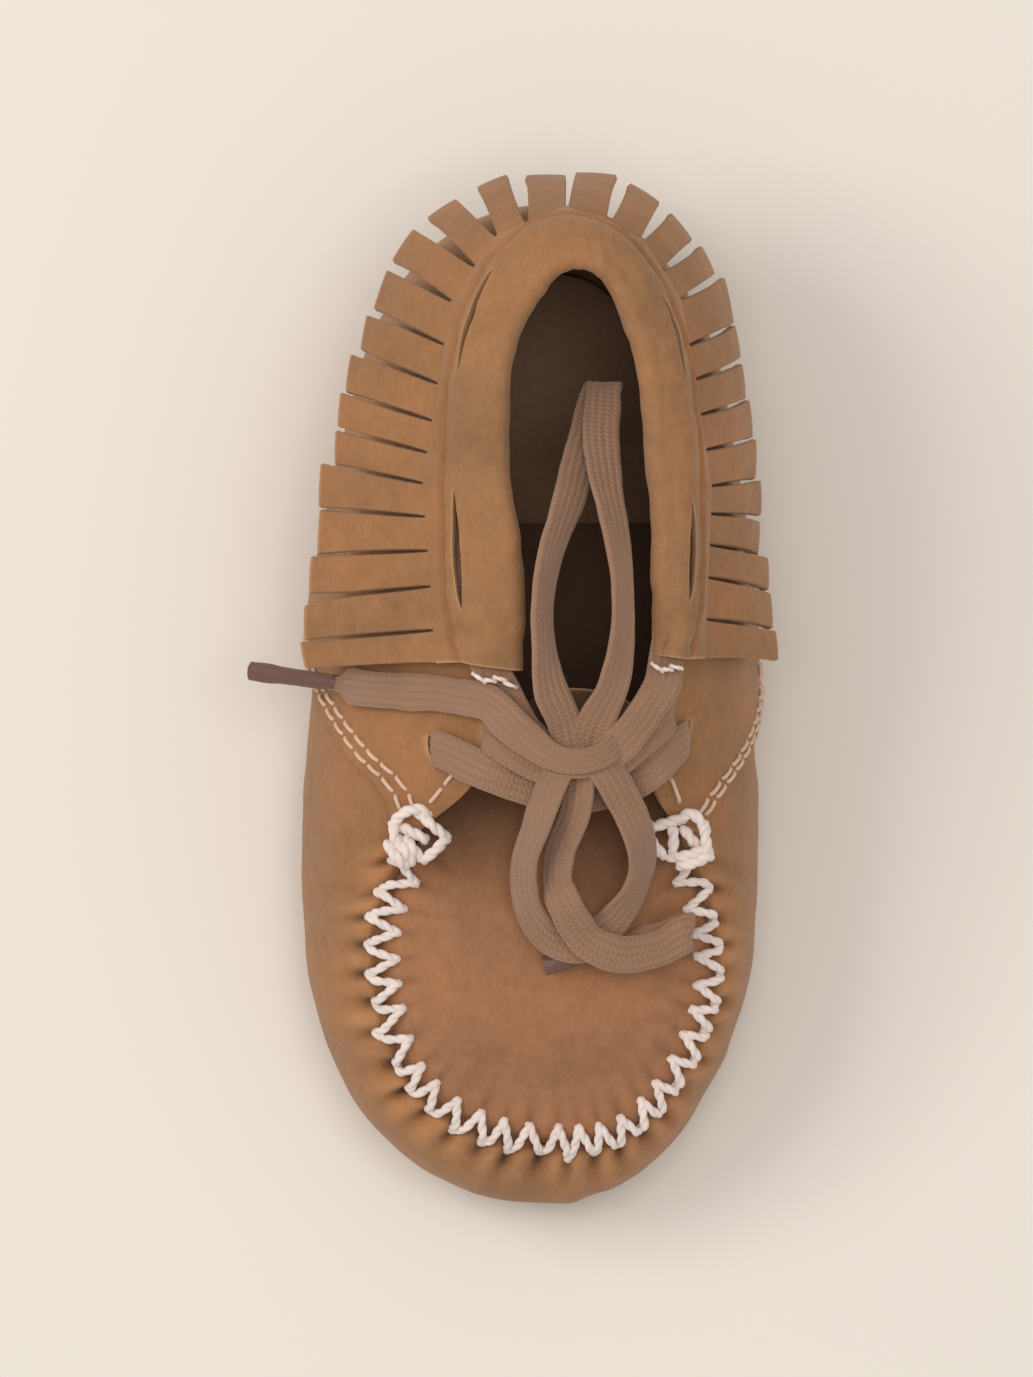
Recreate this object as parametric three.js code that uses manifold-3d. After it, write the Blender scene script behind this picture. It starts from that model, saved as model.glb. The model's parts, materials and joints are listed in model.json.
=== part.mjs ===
// A baby's suede moccasin: a soft wrap sole gathered to a toe plug, two quarters laced over the throat,
// a folded collar with a fringe hanging from it, and a flat lace tied in a bow.
// Millimetres, +Z up, toe towards -Y, heel towards +Y, the outer side of the foot towards -X.
// The origin is on the ground, under the middle of the shoe without the free ends of its lace.
// Every place below is given before CENTRING moves the whole shoe.
import * as THREE from 'three';
import { mergeVertices } from 'three/addons/utils/BufferGeometryUtils.js';
import Module from 'manifold-3d';

// Driving dimensions.
const SOLE_INSET = 5; // the ground line lies this far inside the widest line
const WIDEST_HEIGHT = 12;
const SUEDE = 1.5; // wrap and sole
const QUARTER_SUEDE = 1.2;
const PLUG_SUEDE = 1.3;
const FRINGE_SUEDE = 1.1;
const COLLAR_SUEDE = 0.9;
const PLY_GAP = 0.3; // between two plies that lie on each other
const PLUG_CROWN = 33.6; // height of the middle of the plug
const TUNNEL_DEPTH = 2.4; // from leaf to leaf of the folded collar
const LACE_WIDTH = 4.4;
const LACE_THICKNESS = 0.9;
const AGLET_RADIUS = 1.1;
const TOE_THREAD_RADIUS = 0.55;
const SEAM_THREAD_RADIUS = 0.3;
const COLLAR_TACK_RADIUS = 0.45;
const TACK_SIZE = [3, 2.6, 1]; // half sizes of the wrapped tack at each end of the toe seam
const ZIGZAG_COUNT = 27;
const ZIGZAG_REACH = 2.1; // each side of the toe seam
const PAD_THICKNESS = 2;
const SOCK_THICKNESS = 0.8;
const SOCK_FRONT = 20; // where the heel sock ends
const CENTRING = [-0.76, -0.08, 0]; // brings the middle of the shoe's box over the origin

// Stations round the shoe, from the heel down the outer side, round the toe and back up the inner side.
// wide is the widest line of the wall, and edge is the upper edge of the leather.
const STATIONS = [
  { wide: [3, 57], edge: [4, 53.2, 45.4] },
  { wide: [-9, 54], edge: [-2.2, 50.4, 45.2] },
  { wide: [-17, 44], edge: [-6.4, 41.6, 44.8] },
  { wide: [-21.6, 30], edge: [-7.8, 29, 44.4] },
  { wide: [-24.6, 16], edge: [-8, 16, 44] },
  { wide: [-26.2, 6], edge: [-7.4, 6, 43.6] },
  { wide: [-26.8, -2], edge: [-1.6, -0.6, 44.8] },
  { wide: [-27.3, -9], edge: [-2.4, -6.4, 43.4] },
  { wide: [-27.6, -14], edge: [-6.8, -11, 40.8] },
  { wide: [-27.8, -20], edge: [-13.4, -17, 35.6] },
  { wide: [-27.6, -28], edge: [-18.4, -27, 31.5] },
  { wide: [-26.5, -37], edge: [-18.4, -37, 28.8] },
  { wide: [-21.5, -49.5], edge: [-14.8, -47.4, 26] },
  { wide: [-11.5, -59], edge: [-6.8, -53.4, 24] },
  { wide: [1.5, -62.3], edge: [3, -55.2, 23.2] },
  { wide: [13, -58.5], edge: [11.4, -54, 24] },
  { wide: [21.5, -48], edge: [18.2, -46.8, 26] },
  { wide: [26, -36], edge: [22.2, -37, 28.8] },
  { wide: [27.2, -27], edge: [21.6, -27, 31.5] },
  { wide: [27.4, -19], edge: [17.6, -17, 35.6] },
  { wide: [27.3, -13], edge: [14.4, -12.4, 39.8] },
  { wide: [27, -8], edge: [12.8, -7.6, 42.6] },
  { wide: [26.6, -2], edge: [12.8, -1, 44.6] },
  { wide: [26, 5], edge: [17, 6, 43.6] },
  { wide: [25.4, 14], edge: [17.6, 16, 44] },
  { wide: [23.4, 27], edge: [17.2, 29, 44.4] },
  { wide: [20.4, 41], edge: [15.4, 41, 44.8] },
  { wide: [13, 53], edge: [10.8, 50.2, 45.2] },
];
const COUNT = STATIONS.length;
const OUTER_TACK = 9; // station where the plug seam starts
const INNER_TACK = 19; // and where it ends

// The collar and the fringe, from the front of the outer side round the heel to the front of the inner side.
// ridge is the collar's lower edge, mouth its upper edge round the foot, tip where a strand of fringe ends.
const COLLAR = [
  { ridge: [-8.4, 3.2, 46.8], mouth: [-0.6, 2, 48.6], tip: [-27.2, 2.4, 34.5] },
  { ridge: [-9.8, 10, 47], mouth: [-0.2, 10, 50], tip: [-26.7, 10.7, 35] },
  { ridge: [-10.2, 20, 47.4], mouth: [-1.4, 18, 51.5], tip: [-24.8, 22.8, 35.5] },
  { ridge: [-10, 32, 47.8], mouth: [-3, 29, 53], tip: [-22.5, 35.2, 35.5] },
  { ridge: [-8.6, 42, 48.2], mouth: [-3, 38, 54], tip: [-19, 46.8, 34] },
  { ridge: [-5.2, 50, 48.6], mouth: [-0.6, 44.8, 54.6], tip: [-12.6, 56, 31.5] },
  { ridge: [-0.8, 54.4, 48.8], mouth: [2.4, 49, 54.9], tip: [-2.4, 61.5, 30.5] },
  { ridge: [3.6, 56, 49], mouth: [6.2, 50.6, 55], tip: [4, 61.8, 30] },
  { ridge: [9.4, 54.6, 48.8], mouth: [9.4, 48.8, 54.9], tip: [12, 60.6, 30] },
  { ridge: [14.6, 49, 48.6], mouth: [12, 43, 54.6], tip: [20, 53.6, 30] },
  { ridge: [17.8, 41, 48.2], mouth: [13.4, 36.6, 54], tip: [24, 43.4, 29.5] },
  { ridge: [19.4, 30, 47.8], mouth: [14, 28, 53], tip: [26, 31.7, 29] },
  { ridge: [19.8, 19, 47.4], mouth: [14.3, 18, 51.5], tip: [27.3, 19.7, 29] },
  { ridge: [19.6, 10, 47], mouth: [14.2, 10, 50], tip: [28.3, 10.3, 29] },
  { ridge: [18.4, 3.6, 46.8], mouth: [13.6, 4.2, 48.6], tip: [29.2, 3.3, 29] },
];
const COLLAR_SPAN = COLLAR.length - 1;

// The strands lift in groups, each about a straight line. cuts are the collar stations that part the strands.
const FRINGE_GROUPS = [
  { name: 'fringe_outer_front', cuts: [0, 0.43, 1, 1.46, 1.9, 2.33] },
  { name: 'fringe_outer_rear', cuts: [2.33, 2.67, 3.02, 3.43, 3.86, 4.34] },
  { name: 'fringe_heel_1', cuts: [4.34, 4.93, 5.45] },
  { name: 'fringe_heel_2', cuts: [5.45, 6.15, 7.08] },
  { name: 'fringe_heel_3', cuts: [7.08, 7.85, 8.5] },
  { name: 'fringe_heel_4', cuts: [8.5, 9, 9.46] },
  { name: 'fringe_inner_rear', cuts: [9.46, 9.98, 10.36, 10.75, 11.14, 11.54] },
  { name: 'fringe_inner_front', cuts: [11.54, 11.93, 12.37, 12.83, 13.43, 14] },
];
const HINGE_DROP = 3.1; // from the collar's ridge to the line the strands bend on
const HINGE_CLEARANCE = 0.6; // from the uncut margin to that line
const STRAND_START = 0.3; // from that line to the strand's root
const STRAND_GAP = 0.4;
const STRAND_BOW = 0.8;

const SUEDE_COLOUR = 0xaa7d55;
const PLUG_COLOUR = 0xa07052;
const COLLAR_COLOUR = 0xb2875f;
const LACE_COLOUR = 0x9b785f;
const THREAD_COLOUR = 0xebdcd4;
const SEAM_COLOUR = 0xe4c6aa;
const AGLET_COLOUR = 0x784f45;
const LINING_COLOUR = 0x4b3c32;

const wasm = await Module();
wasm.setup();

const vector = (p) => new THREE.Vector3(...p);
const mix = (a, b, share) => a.clone().lerp(b, share);
const loop = (points) => new THREE.CatmullRomCurve3(points.map(vector), true, 'catmullrom', 0.5);
const route = (points) => new THREE.CatmullRomCurve3(points.map(vector), false, 'catmullrom', 0.5);

// Geometry helpers.

// One closed geometry: shared vertices merged, faces turned outwards.
function closed(geometry) {
  geometry.deleteAttribute('normal');
  geometry.deleteAttribute('uv');
  geometry.clearGroups();
  const merged = mergeVertices(geometry, 1e-4);
  if (solid(merged).volume() < 0) {
    const index = merged.index.array;
    for (let i = 0; i < index.length; i += 3) {
      const kept = index[i + 1];
      index[i + 1] = index[i + 2];
      index[i + 2] = kept;
    }
  }
  return merged;
}

function solid(geometry) {
  const vertProperties = new Float32Array(geometry.attributes.position.array);
  const triVerts = new Uint32Array(geometry.index.array);
  return new wasm.Manifold(new wasm.Mesh({ numProp: 3, vertProperties, triVerts }));
}

function geometryOf(body) {
  const mesh = body.getMesh();
  const geometry = new THREE.BufferGeometry();
  geometry.setAttribute('position', new THREE.BufferAttribute(mesh.vertProperties, 3));
  geometry.setIndex(new THREE.BufferAttribute(mesh.triVerts, 1));
  return geometry;
}

function cut(geometry, tools) {
  const body = tools.reduce((left, tool) => left.subtract(solid(tool)), solid(geometry));
  return geometryOf(body);
}

// A sheet of leather: a box whose three shares, each from 0 to 1, are placed in space.
function sheet(place, along, across) {
  const box = new THREE.BoxGeometry(1, 1, 1, along, across, 1);
  const position = box.attributes.position;
  for (let i = 0; i < position.count; i++) {
    const p = place(position.getX(i) + 0.5, position.getY(i) + 0.5, position.getZ(i) + 0.5);
    position.setXYZ(i, p.x, p.y, p.z);
  }
  return closed(box);
}

// A closed round form: a sphere whose share around and share from the lower pole up are placed in space.
function round(place, around, rows) {
  const sphere = new THREE.SphereGeometry(1, around, rows);
  const { position, uv } = sphere.attributes;
  for (let i = 0; i < position.count; i++) {
    const row = Math.round(uv.getY(i) * rows);
    const p = place(row === 0 || row === rows ? 0 : uv.getX(i), row);
    position.setXYZ(i, p.x, p.y, p.z);
  }
  return closed(sphere);
}

// A round thread or bar along a curve.
function thread(curve, radius, steps, sides = 6) {
  const section = new THREE.Shape();
  section.absarc(0, 0, radius, 0, 2 * Math.PI);
  const options = { steps, curveSegments: sides / 2, bevelEnabled: false, extrudePath: curve };
  return closed(new THREE.ExtrudeGeometry(section, options));
}

// A flat lace through points, its flat side facing the direction given at each point.
function ribbon(stops, steps, width = LACE_WIDTH) {
  const path = route(stops.map((stop) => stop[0]));
  const facing = route(stops.map((stop) => stop[1]));
  const place = (along, across, through) => {
    const ahead = path.getTangent(along);
    const side = new THREE.Vector3().crossVectors(ahead, facing.getPoint(along)).normalize();
    const up = new THREE.Vector3().crossVectors(side, ahead).normalize();
    return path.getPoint(along)
      .addScaledVector(side, (across - 0.5) * width)
      .addScaledVector(up, (through - 0.5) * LACE_THICKNESS);
  };
  return sheet(place, steps, 1);
}

// The wall of the shoe.

const wideLine = loop(STATIONS.map(({ wide }) => [...wide, WIDEST_HEIGHT]));
const edgeLine = loop(STATIONS.map(({ edge }) => edge));
const MIDDLE = new THREE.Vector3(0.5, -2, 0);
const WIDEST_SHARE = 0.3; // share of the wall's girth below the widest line

const station = (curve, at) => curve.getPoint((((at % COUNT) + COUNT) % COUNT) / COUNT);

// A point of the ground line: the widest line pulled in square to itself.
function groundPoint(at) {
  const wide = station(wideLine, at);
  const ahead = station(wideLine, at + 0.05).sub(station(wideLine, at - 0.05)).normalize();
  return new THREE.Vector3(wide.x - ahead.y * SOLE_INSET, wide.y + ahead.x * SOLE_INSET, 0);
}

// How far the upper wall has turned over by its edge: nearly flat at the toe, still steep at the collar.
function turnAt(at) {
  const fromToe = Math.abs(at - 14) / 5;
  return THREE.MathUtils.degToRad(72 - 20 * THREE.MathUtils.smoothstep(fromToe, 1.4, 2));
}

function wallPoint(at, rise) {
  const wide = station(wideLine, at);
  if (rise < WIDEST_SHARE) {
    const turn = (rise / WIDEST_SHARE) * (Math.PI / 2);
    const p = mix(groundPoint(at), wide, Math.sin(turn));
    return p.setZ(WIDEST_HEIGHT * (1 - Math.cos(turn)));
  }
  const edge = station(edgeLine, at);
  const whole = turnAt(at);
  const turn = ((rise - WIDEST_SHARE) / (1 - WIDEST_SHARE)) * whole;
  const p = mix(wide, edge, (1 - Math.cos(turn)) / (1 - Math.cos(whole)));
  return p.setZ(wide.z + ((edge.z - wide.z) * Math.sin(turn)) / Math.sin(whole));
}

// A point that stands off the wall's outside by a distance, or lies inside it when that is negative.
function wall(at, rise, out) {
  const lower = Math.max(rise - 0.01, 0);
  const upper = Math.min(rise + 0.01, 1);
  const ahead = wallPoint(at + 0.03, rise).sub(wallPoint(at - 0.03, rise));
  const up = wallPoint(at, upper).sub(wallPoint(at, lower));
  const normal = ahead.cross(up).normalize();
  return wallPoint(at, rise).addScaledVector(normal, out);
}

// The quarters' lower edge on the wall, on each side: level under the fringe, then up to the tack.
const LOWEST_QUARTER = 0.35;
const isOuter = (at) => at < COUNT / 2;
function quarterBottom(at) {
  const fromHeel = isOuter(at) ? at : COUNT - at;
  const slope = isOuter(at) ? 0.139 * (fromHeel - 4.9) : 0.175 * (fromHeel - 5.78);
  return LOWEST_QUARTER + Math.max(slope, 0);
}
const QUARTER_LAP = 0.12;
function wrapTop(at) {
  if (at >= OUTER_TACK && at <= INNER_TACK) return 1;
  return Math.min(quarterBottom(at) + QUARTER_LAP, 1);
}

// The sole and wrap: one tray of suede.
const FLOOR_ROWS = 2;
const WALL_ROWS = 7;

function soleWrap() {
  const rows = 2 * (FLOOR_ROWS + WALL_ROWS) + 1;
  const place = (around, row) => {
    const at = around * COUNT;
    const inside = row > FLOOR_ROWS + WALL_ROWS;
    const step = inside ? rows - row : row;
    const out = inside ? -SUEDE : 0;
    if (step < FLOOR_ROWS) {
      return mix(MIDDLE, groundPoint(at), step / FLOOR_ROWS).setZ(-out);
    }
    return wall(at, (wrapTop(at) * (step - FLOOR_ROWS)) / WALL_ROWS, out);
  };
  return round(place, 56, rows);
}

// The toe plug, with the short tail that runs on under the throat.
const PLUG_TAIL = [
  [15.6, -11, 37.4], [14.4, -5, 39.6], [12.2, -1.4, 41], [8.6, 0.2, 41.6],
  [4, 0.6, 41.8], [0.4, -0.4, 41.2], [-3, -4, 39.8], [-7.6, -9.6, 37.4],
];
const PLUG_MIDDLE = new THREE.Vector3(2, -30, PLUG_CROWN);
const PLUG_INSET = 1.3; // the wrap's edge leans in under the seam
const plugEdge = loop([
  ...STATIONS.slice(OUTER_TACK, INNER_TACK + 1).map(({ edge }) => edge),
  ...PLUG_TAIL,
]);

function plugPoint(around, reach) {
  const edge = plugEdge.getPoint(around);
  const level = new THREE.Vector3(edge.x - PLUG_MIDDLE.x, edge.y - PLUG_MIDDLE.y, 0);
  edge.addScaledVector(level.normalize(), -PLUG_INSET);
  const p = mix(PLUG_MIDDLE, edge, reach);
  return p.setZ(PLUG_CROWN + (edge.z - PLUG_CROWN) * reach ** 1.8);
}

function toePlug() {
  const rows = 9;
  const top = 4;
  const place = (around, row) => {
    const above = row > top;
    const p = plugPoint(around, (above ? rows - row : row) / top);
    return above ? p : p.setZ(p.z - PLUG_SUEDE);
  };
  return round(place, 48, rows);
}

// A quarter: the side of the upper, from its tack back to the heel seam.
const HEEL_SEAM = 0.05;
const LACE_SLITS = {
  outer: [{ at: 7.02, rise: 0.855 }, { at: 6.66, rise: 0.955 }],
  inner: [{ at: 21.36, rise: 0.86 }, { at: 21.9, rise: 0.93 }],
};
const SLIT_LENGTH = 4.8;
const SLIT_WIDTH = 1.3;

function laceSlit({ at, rise }) {
  const middle = wall(at, rise, 0);
  const normal = wall(at, rise, 1).sub(middle).normalize();
  const ahead = wall(at + 0.1, rise, 0).sub(middle).normalize();
  const up = new THREE.Vector3().crossVectors(ahead, normal);
  const box = new THREE.BoxGeometry(SLIT_LENGTH, SLIT_WIDTH, 6);
  box.applyMatrix4(new THREE.Matrix4().makeBasis(ahead, up, normal).setPosition(middle));
  return closed(box);
}

function quarter(side) {
  const from = side === 'outer' ? OUTER_TACK - 0.1 : INNER_TACK + 0.1;
  const to = side === 'outer' ? HEEL_SEAM : COUNT - HEEL_SEAM;
  const place = (along, across, through) => {
    const at = THREE.MathUtils.lerp(from, to, along);
    const rise = THREE.MathUtils.lerp(quarterBottom(at), 1, across);
    return wall(at, rise, PLY_GAP + QUARTER_SUEDE * through);
  };
  return cut(sheet(place, 27, 6), LACE_SLITS[side].map(laceSlit));
}

// The collar: a strip folded over the edge of the mouth, with the lace in its tunnel.
const ridgeLine = route(COLLAR.map(({ ridge }) => ridge));
const mouthLine = route(COLLAR.map(({ mouth }) => mouth));
const tipLine = route(COLLAR.map(({ tip }) => tip));
const COLLAR_CROWN = 0.6;
const INNER_LEAF_END = 3.4;

// The collar's own frame at a station: inwards from ridge to mouth, and up square to the leaf.
function collarFrame(at) {
  const share = at / COLLAR_SPAN;
  const ridge = ridgeLine.getPoint(share);
  const inwards = mouthLine.getPoint(share).sub(ridge);
  const width = inwards.length();
  inwards.divideScalar(width);
  const up = new THREE.Vector3().crossVectors(inwards, ridgeLine.getTangent(share)).normalize();
  if (up.z < 0) up.negate();
  return { ridge, inwards, up, width };
}

function collarPoint(at, inward, above) {
  const { ridge, inwards, up } = collarFrame(at);
  return ridge.addScaledVector(inwards, inward).addScaledVector(up, above);
}

function collarSheet() {
  const leaf = 3;
  const fold = 4;
  const steps = 2 * leaf + fold;
  const foldRadius = TUNNEL_DEPTH / 2;
  return sheet((along, across, through) => {
    const at = along * COLLAR_SPAN;
    const flat = collarFrame(at).width - foldRadius;
    const step = Math.round(across * steps);
    const off = (through - 0.5) * COLLAR_SUEDE;
    if (step < leaf) {
      const share = step / leaf;
      return collarPoint(at, flat * share, COLLAR_CROWN * Math.sin(Math.PI * share) + off);
    }
    if (step <= leaf + fold) {
      const turn = Math.PI * (0.5 - (step - leaf) / fold);
      const radius = foldRadius + off;
      return collarPoint(at, flat + radius * Math.cos(turn), radius * Math.sin(turn) - foldRadius);
    }
    const share = (step - leaf - fold) / leaf;
    return collarPoint(at, THREE.MathUtils.lerp(flat, INNER_LEAF_END, share), -TUNNEL_DEPTH - off);
  }, 28, steps);
}

// The collar's lace windows: lens-shaped slits near the ridge that show the lace in the tunnel.
const WINDOWS = [[0.95, 2.35], [3.6, 5.1], [9.2, 10.35], [11.65, 12.95]];
const WINDOW_INWARD = 1.7;
const WINDOW_HALF_WIDTH = 0.7;

function laceWindow([from, to]) {
  return sheet((along, across, through) => {
    const half = WINDOW_HALF_WIDTH * (0.1 + 0.9 * Math.sin(Math.PI * along));
    const inward = WINDOW_INWARD + (across - 0.5) * 2 * half;
    return collarPoint(THREE.MathUtils.lerp(from, to, along), inward, THREE.MathUtils.lerp(-0.7, 2, through));
  }, 6, 1);
}

function tunnelLace() {
  const end = 0.06;
  return sheet((along, across, through) => {
    const at = THREE.MathUtils.lerp(end, COLLAR_SPAN - end, along);
    const middle = Math.min(collarFrame(at).width * 0.45, 3.2);
    const inward = middle + (across - 0.5) * LACE_WIDTH * 0.9;
    return collarPoint(at, inward, -TUNNEL_DEPTH / 2 + (through - 0.5) * LACE_THICKNESS * 0.85);
  }, 28, 1);
}

// The fringe.
const fringeBounds = [...FRINGE_GROUPS.map(({ cuts }) => cuts[0]), COLLAR_SPAN];

const fallAt = (at) => {
  const share = at / COLLAR_SPAN;
  return tipLine.getPoint(share).sub(ridgeLine.getPoint(share)).normalize();
};
const hingeCorner = (at) => ridgeLine.getPoint(at / COLLAR_SPAN).addScaledVector(fallAt(at), HINGE_DROP);

// The strands bend on a chain of straight lines, one for each group.
function hingePoint(at) {
  const group = Math.max(FRINGE_GROUPS.findLastIndex(({ cuts }) => cuts[0] <= at), 0);
  const [from, to] = [fringeBounds[group], fringeBounds[group + 1]];
  return mix(hingeCorner(from), hingeCorner(to), (at - from) / (to - from));
}

function fringeNormal(at, fall) {
  const ahead = tipLine.getTangent(at / COLLAR_SPAN);
  const normal = new THREE.Vector3().crossVectors(fall, ahead).normalize();
  return normal.dot(new THREE.Vector3(0, 0, 1)) < 0 ? normal.negate() : normal;
}

function fringeBand() {
  const topGap = 0.9;
  return sheet((along, across, through) => {
    const at = along * COLLAR_SPAN;
    const fall = fallAt(at);
    const top = ridgeLine.getPoint(along).addScaledVector(fall, topGap);
    const bottom = hingePoint(at).addScaledVector(fall, -HINGE_CLEARANCE);
    return mix(top, bottom, across).addScaledVector(fringeNormal(at, fall), (through - 0.5) * FRINGE_SUEDE);
  }, 32, 1);
}

// One strand, of an even width where the fringe fans out, between two stations of the collar.
function strand(from, to) {
  const middle = (from + to) / 2;
  const rootWidth = hingePoint(to - 1e-4).distanceTo(hingePoint(from));
  const centre = (share) => mix(hingePoint(middle), tipLine.getPoint(middle / COLLAR_SPAN), share);
  const fall = centre(1).sub(centre(0)).normalize();
  const normal = fringeNormal(middle, fall);
  const start = STRAND_START / centre(0).distanceTo(centre(1));
  return sheet((along, across, through) => {
    const share = THREE.MathUtils.lerp(start, 1, along);
    const edgeAt = (at) => mix(hingePoint(at), tipLine.getPoint(at / COLLAR_SPAN), share);
    const edges = [edgeAt(from), edgeAt(to - 1e-4)];
    const width = edges[0].distanceTo(edges[1]);
    const kept = Math.min(width, rootWidth) - STRAND_GAP;
    const sideways = edges[1].sub(edges[0]).normalize();
    return centre(share)
      .addScaledVector(sideways, (across - 0.5) * kept)
      .addScaledVector(normal, STRAND_BOW * Math.sin(Math.PI * share) + (through - 0.5) * FRINGE_SUEDE);
  }, 3, 1);
}

// Inside the shoe.
const PAD_GAP = 0.3;
const PAD_CORNERS = 40;
const PAD_INSET = 0.03; // share of the way from the ground line to the middle
const padOutline = () => {
  const points = [];
  for (let i = 0; i < PAD_CORNERS; i++) {
    const p = groundPoint((i / PAD_CORNERS) * COUNT);
    points.push(mix(p, MIDDLE, PAD_INSET));
  }
  return points;
};

function flatPiece(points, bottom, thickness) {
  const shape = new THREE.Shape(points.map(({ x, y }) => new THREE.Vector2(x, y)));
  const geometry = new THREE.ExtrudeGeometry(shape, { depth: thickness, bevelEnabled: false });
  return closed(geometry.translate(0, 0, bottom));
}

const PAD_BOTTOM = SUEDE + PAD_GAP;
const insolePad = () => flatPiece(padOutline(), PAD_BOTTOM, PAD_THICKNESS);
const heelSock = () => {
  const back = padOutline().filter(({ y }) => y > SOCK_FRONT);
  return flatPiece(back, PAD_BOTTOM + PAD_THICKNESS + PAD_GAP, SOCK_THICKNESS);
};

// Threads.

// The toe seam: one heavy thread that zigzags between the plug and the wrap, mitred at its corners.
const ZIGZAG_RISE = 1.5; // above the leather's edge
const ZIGZAG_MITRE = Math.SQRT2;

function toeSeam() {
  const [from, to] = [OUTER_TACK + 0.35, INNER_TACK - 0.35];
  const legs = 2 * ZIGZAG_COUNT;
  const edgeSpan = INNER_TACK - OUTER_TACK + 1 + PLUG_TAIL.length; // of the plug's outline, in stations
  return sheet((along, across, through) => {
    const corner = Math.round(along * legs);
    const at = THREE.MathUtils.lerp(from, to, corner / legs);
    const edge = station(edgeLine, at);
    const towards = plugPoint((at - OUTER_TACK) / edgeSpan, 0.9).sub(edge).normalize();
    const below = wallPoint(at, 0.93).sub(edge).normalize();
    const level = towards.clone().setZ(0).normalize();
    return edge.clone()
      .addScaledVector(corner % 2 ? towards : below, ZIGZAG_REACH)
      .addScaledVector(level, (2 * across - 1) * TOE_THREAD_RADIUS * ZIGZAG_MITRE)
      .setZ(edge.z + ZIGZAG_RISE + (2 * through - 1) * TOE_THREAD_RADIUS);
  }, legs, 1);
}

// A row of stitching along a stretch of the quarter, at a rise above its lower edge or on a fixed rise.
function seamRow(from, to, riseAt) {
  const points = [];
  for (let i = 0; i <= 10; i++) {
    const at = THREE.MathUtils.lerp(from, to, i / 10);
    points.push(wall(at, riseAt(at), PLY_GAP * 2 + QUARTER_SUEDE + SEAM_THREAD_RADIUS).toArray());
  }
  return thread(route(points), SEAM_THREAD_RADIUS, 14, 4);
}

// A small wrapped knot of thread, flat on the leather.
function knob(middle, size) {
  return round((around, row) => {
    const tilt = (row / 6 - 0.5) * Math.PI;
    const turn = around * 2 * Math.PI;
    const flat = Math.cos(tilt);
    const offset = new THREE.Vector3(flat * Math.cos(turn), flat * Math.sin(turn), Math.sin(tilt));
    return offset.multiply(vector(size)).add(vector(middle));
  }, 12, 6);
}

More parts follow.
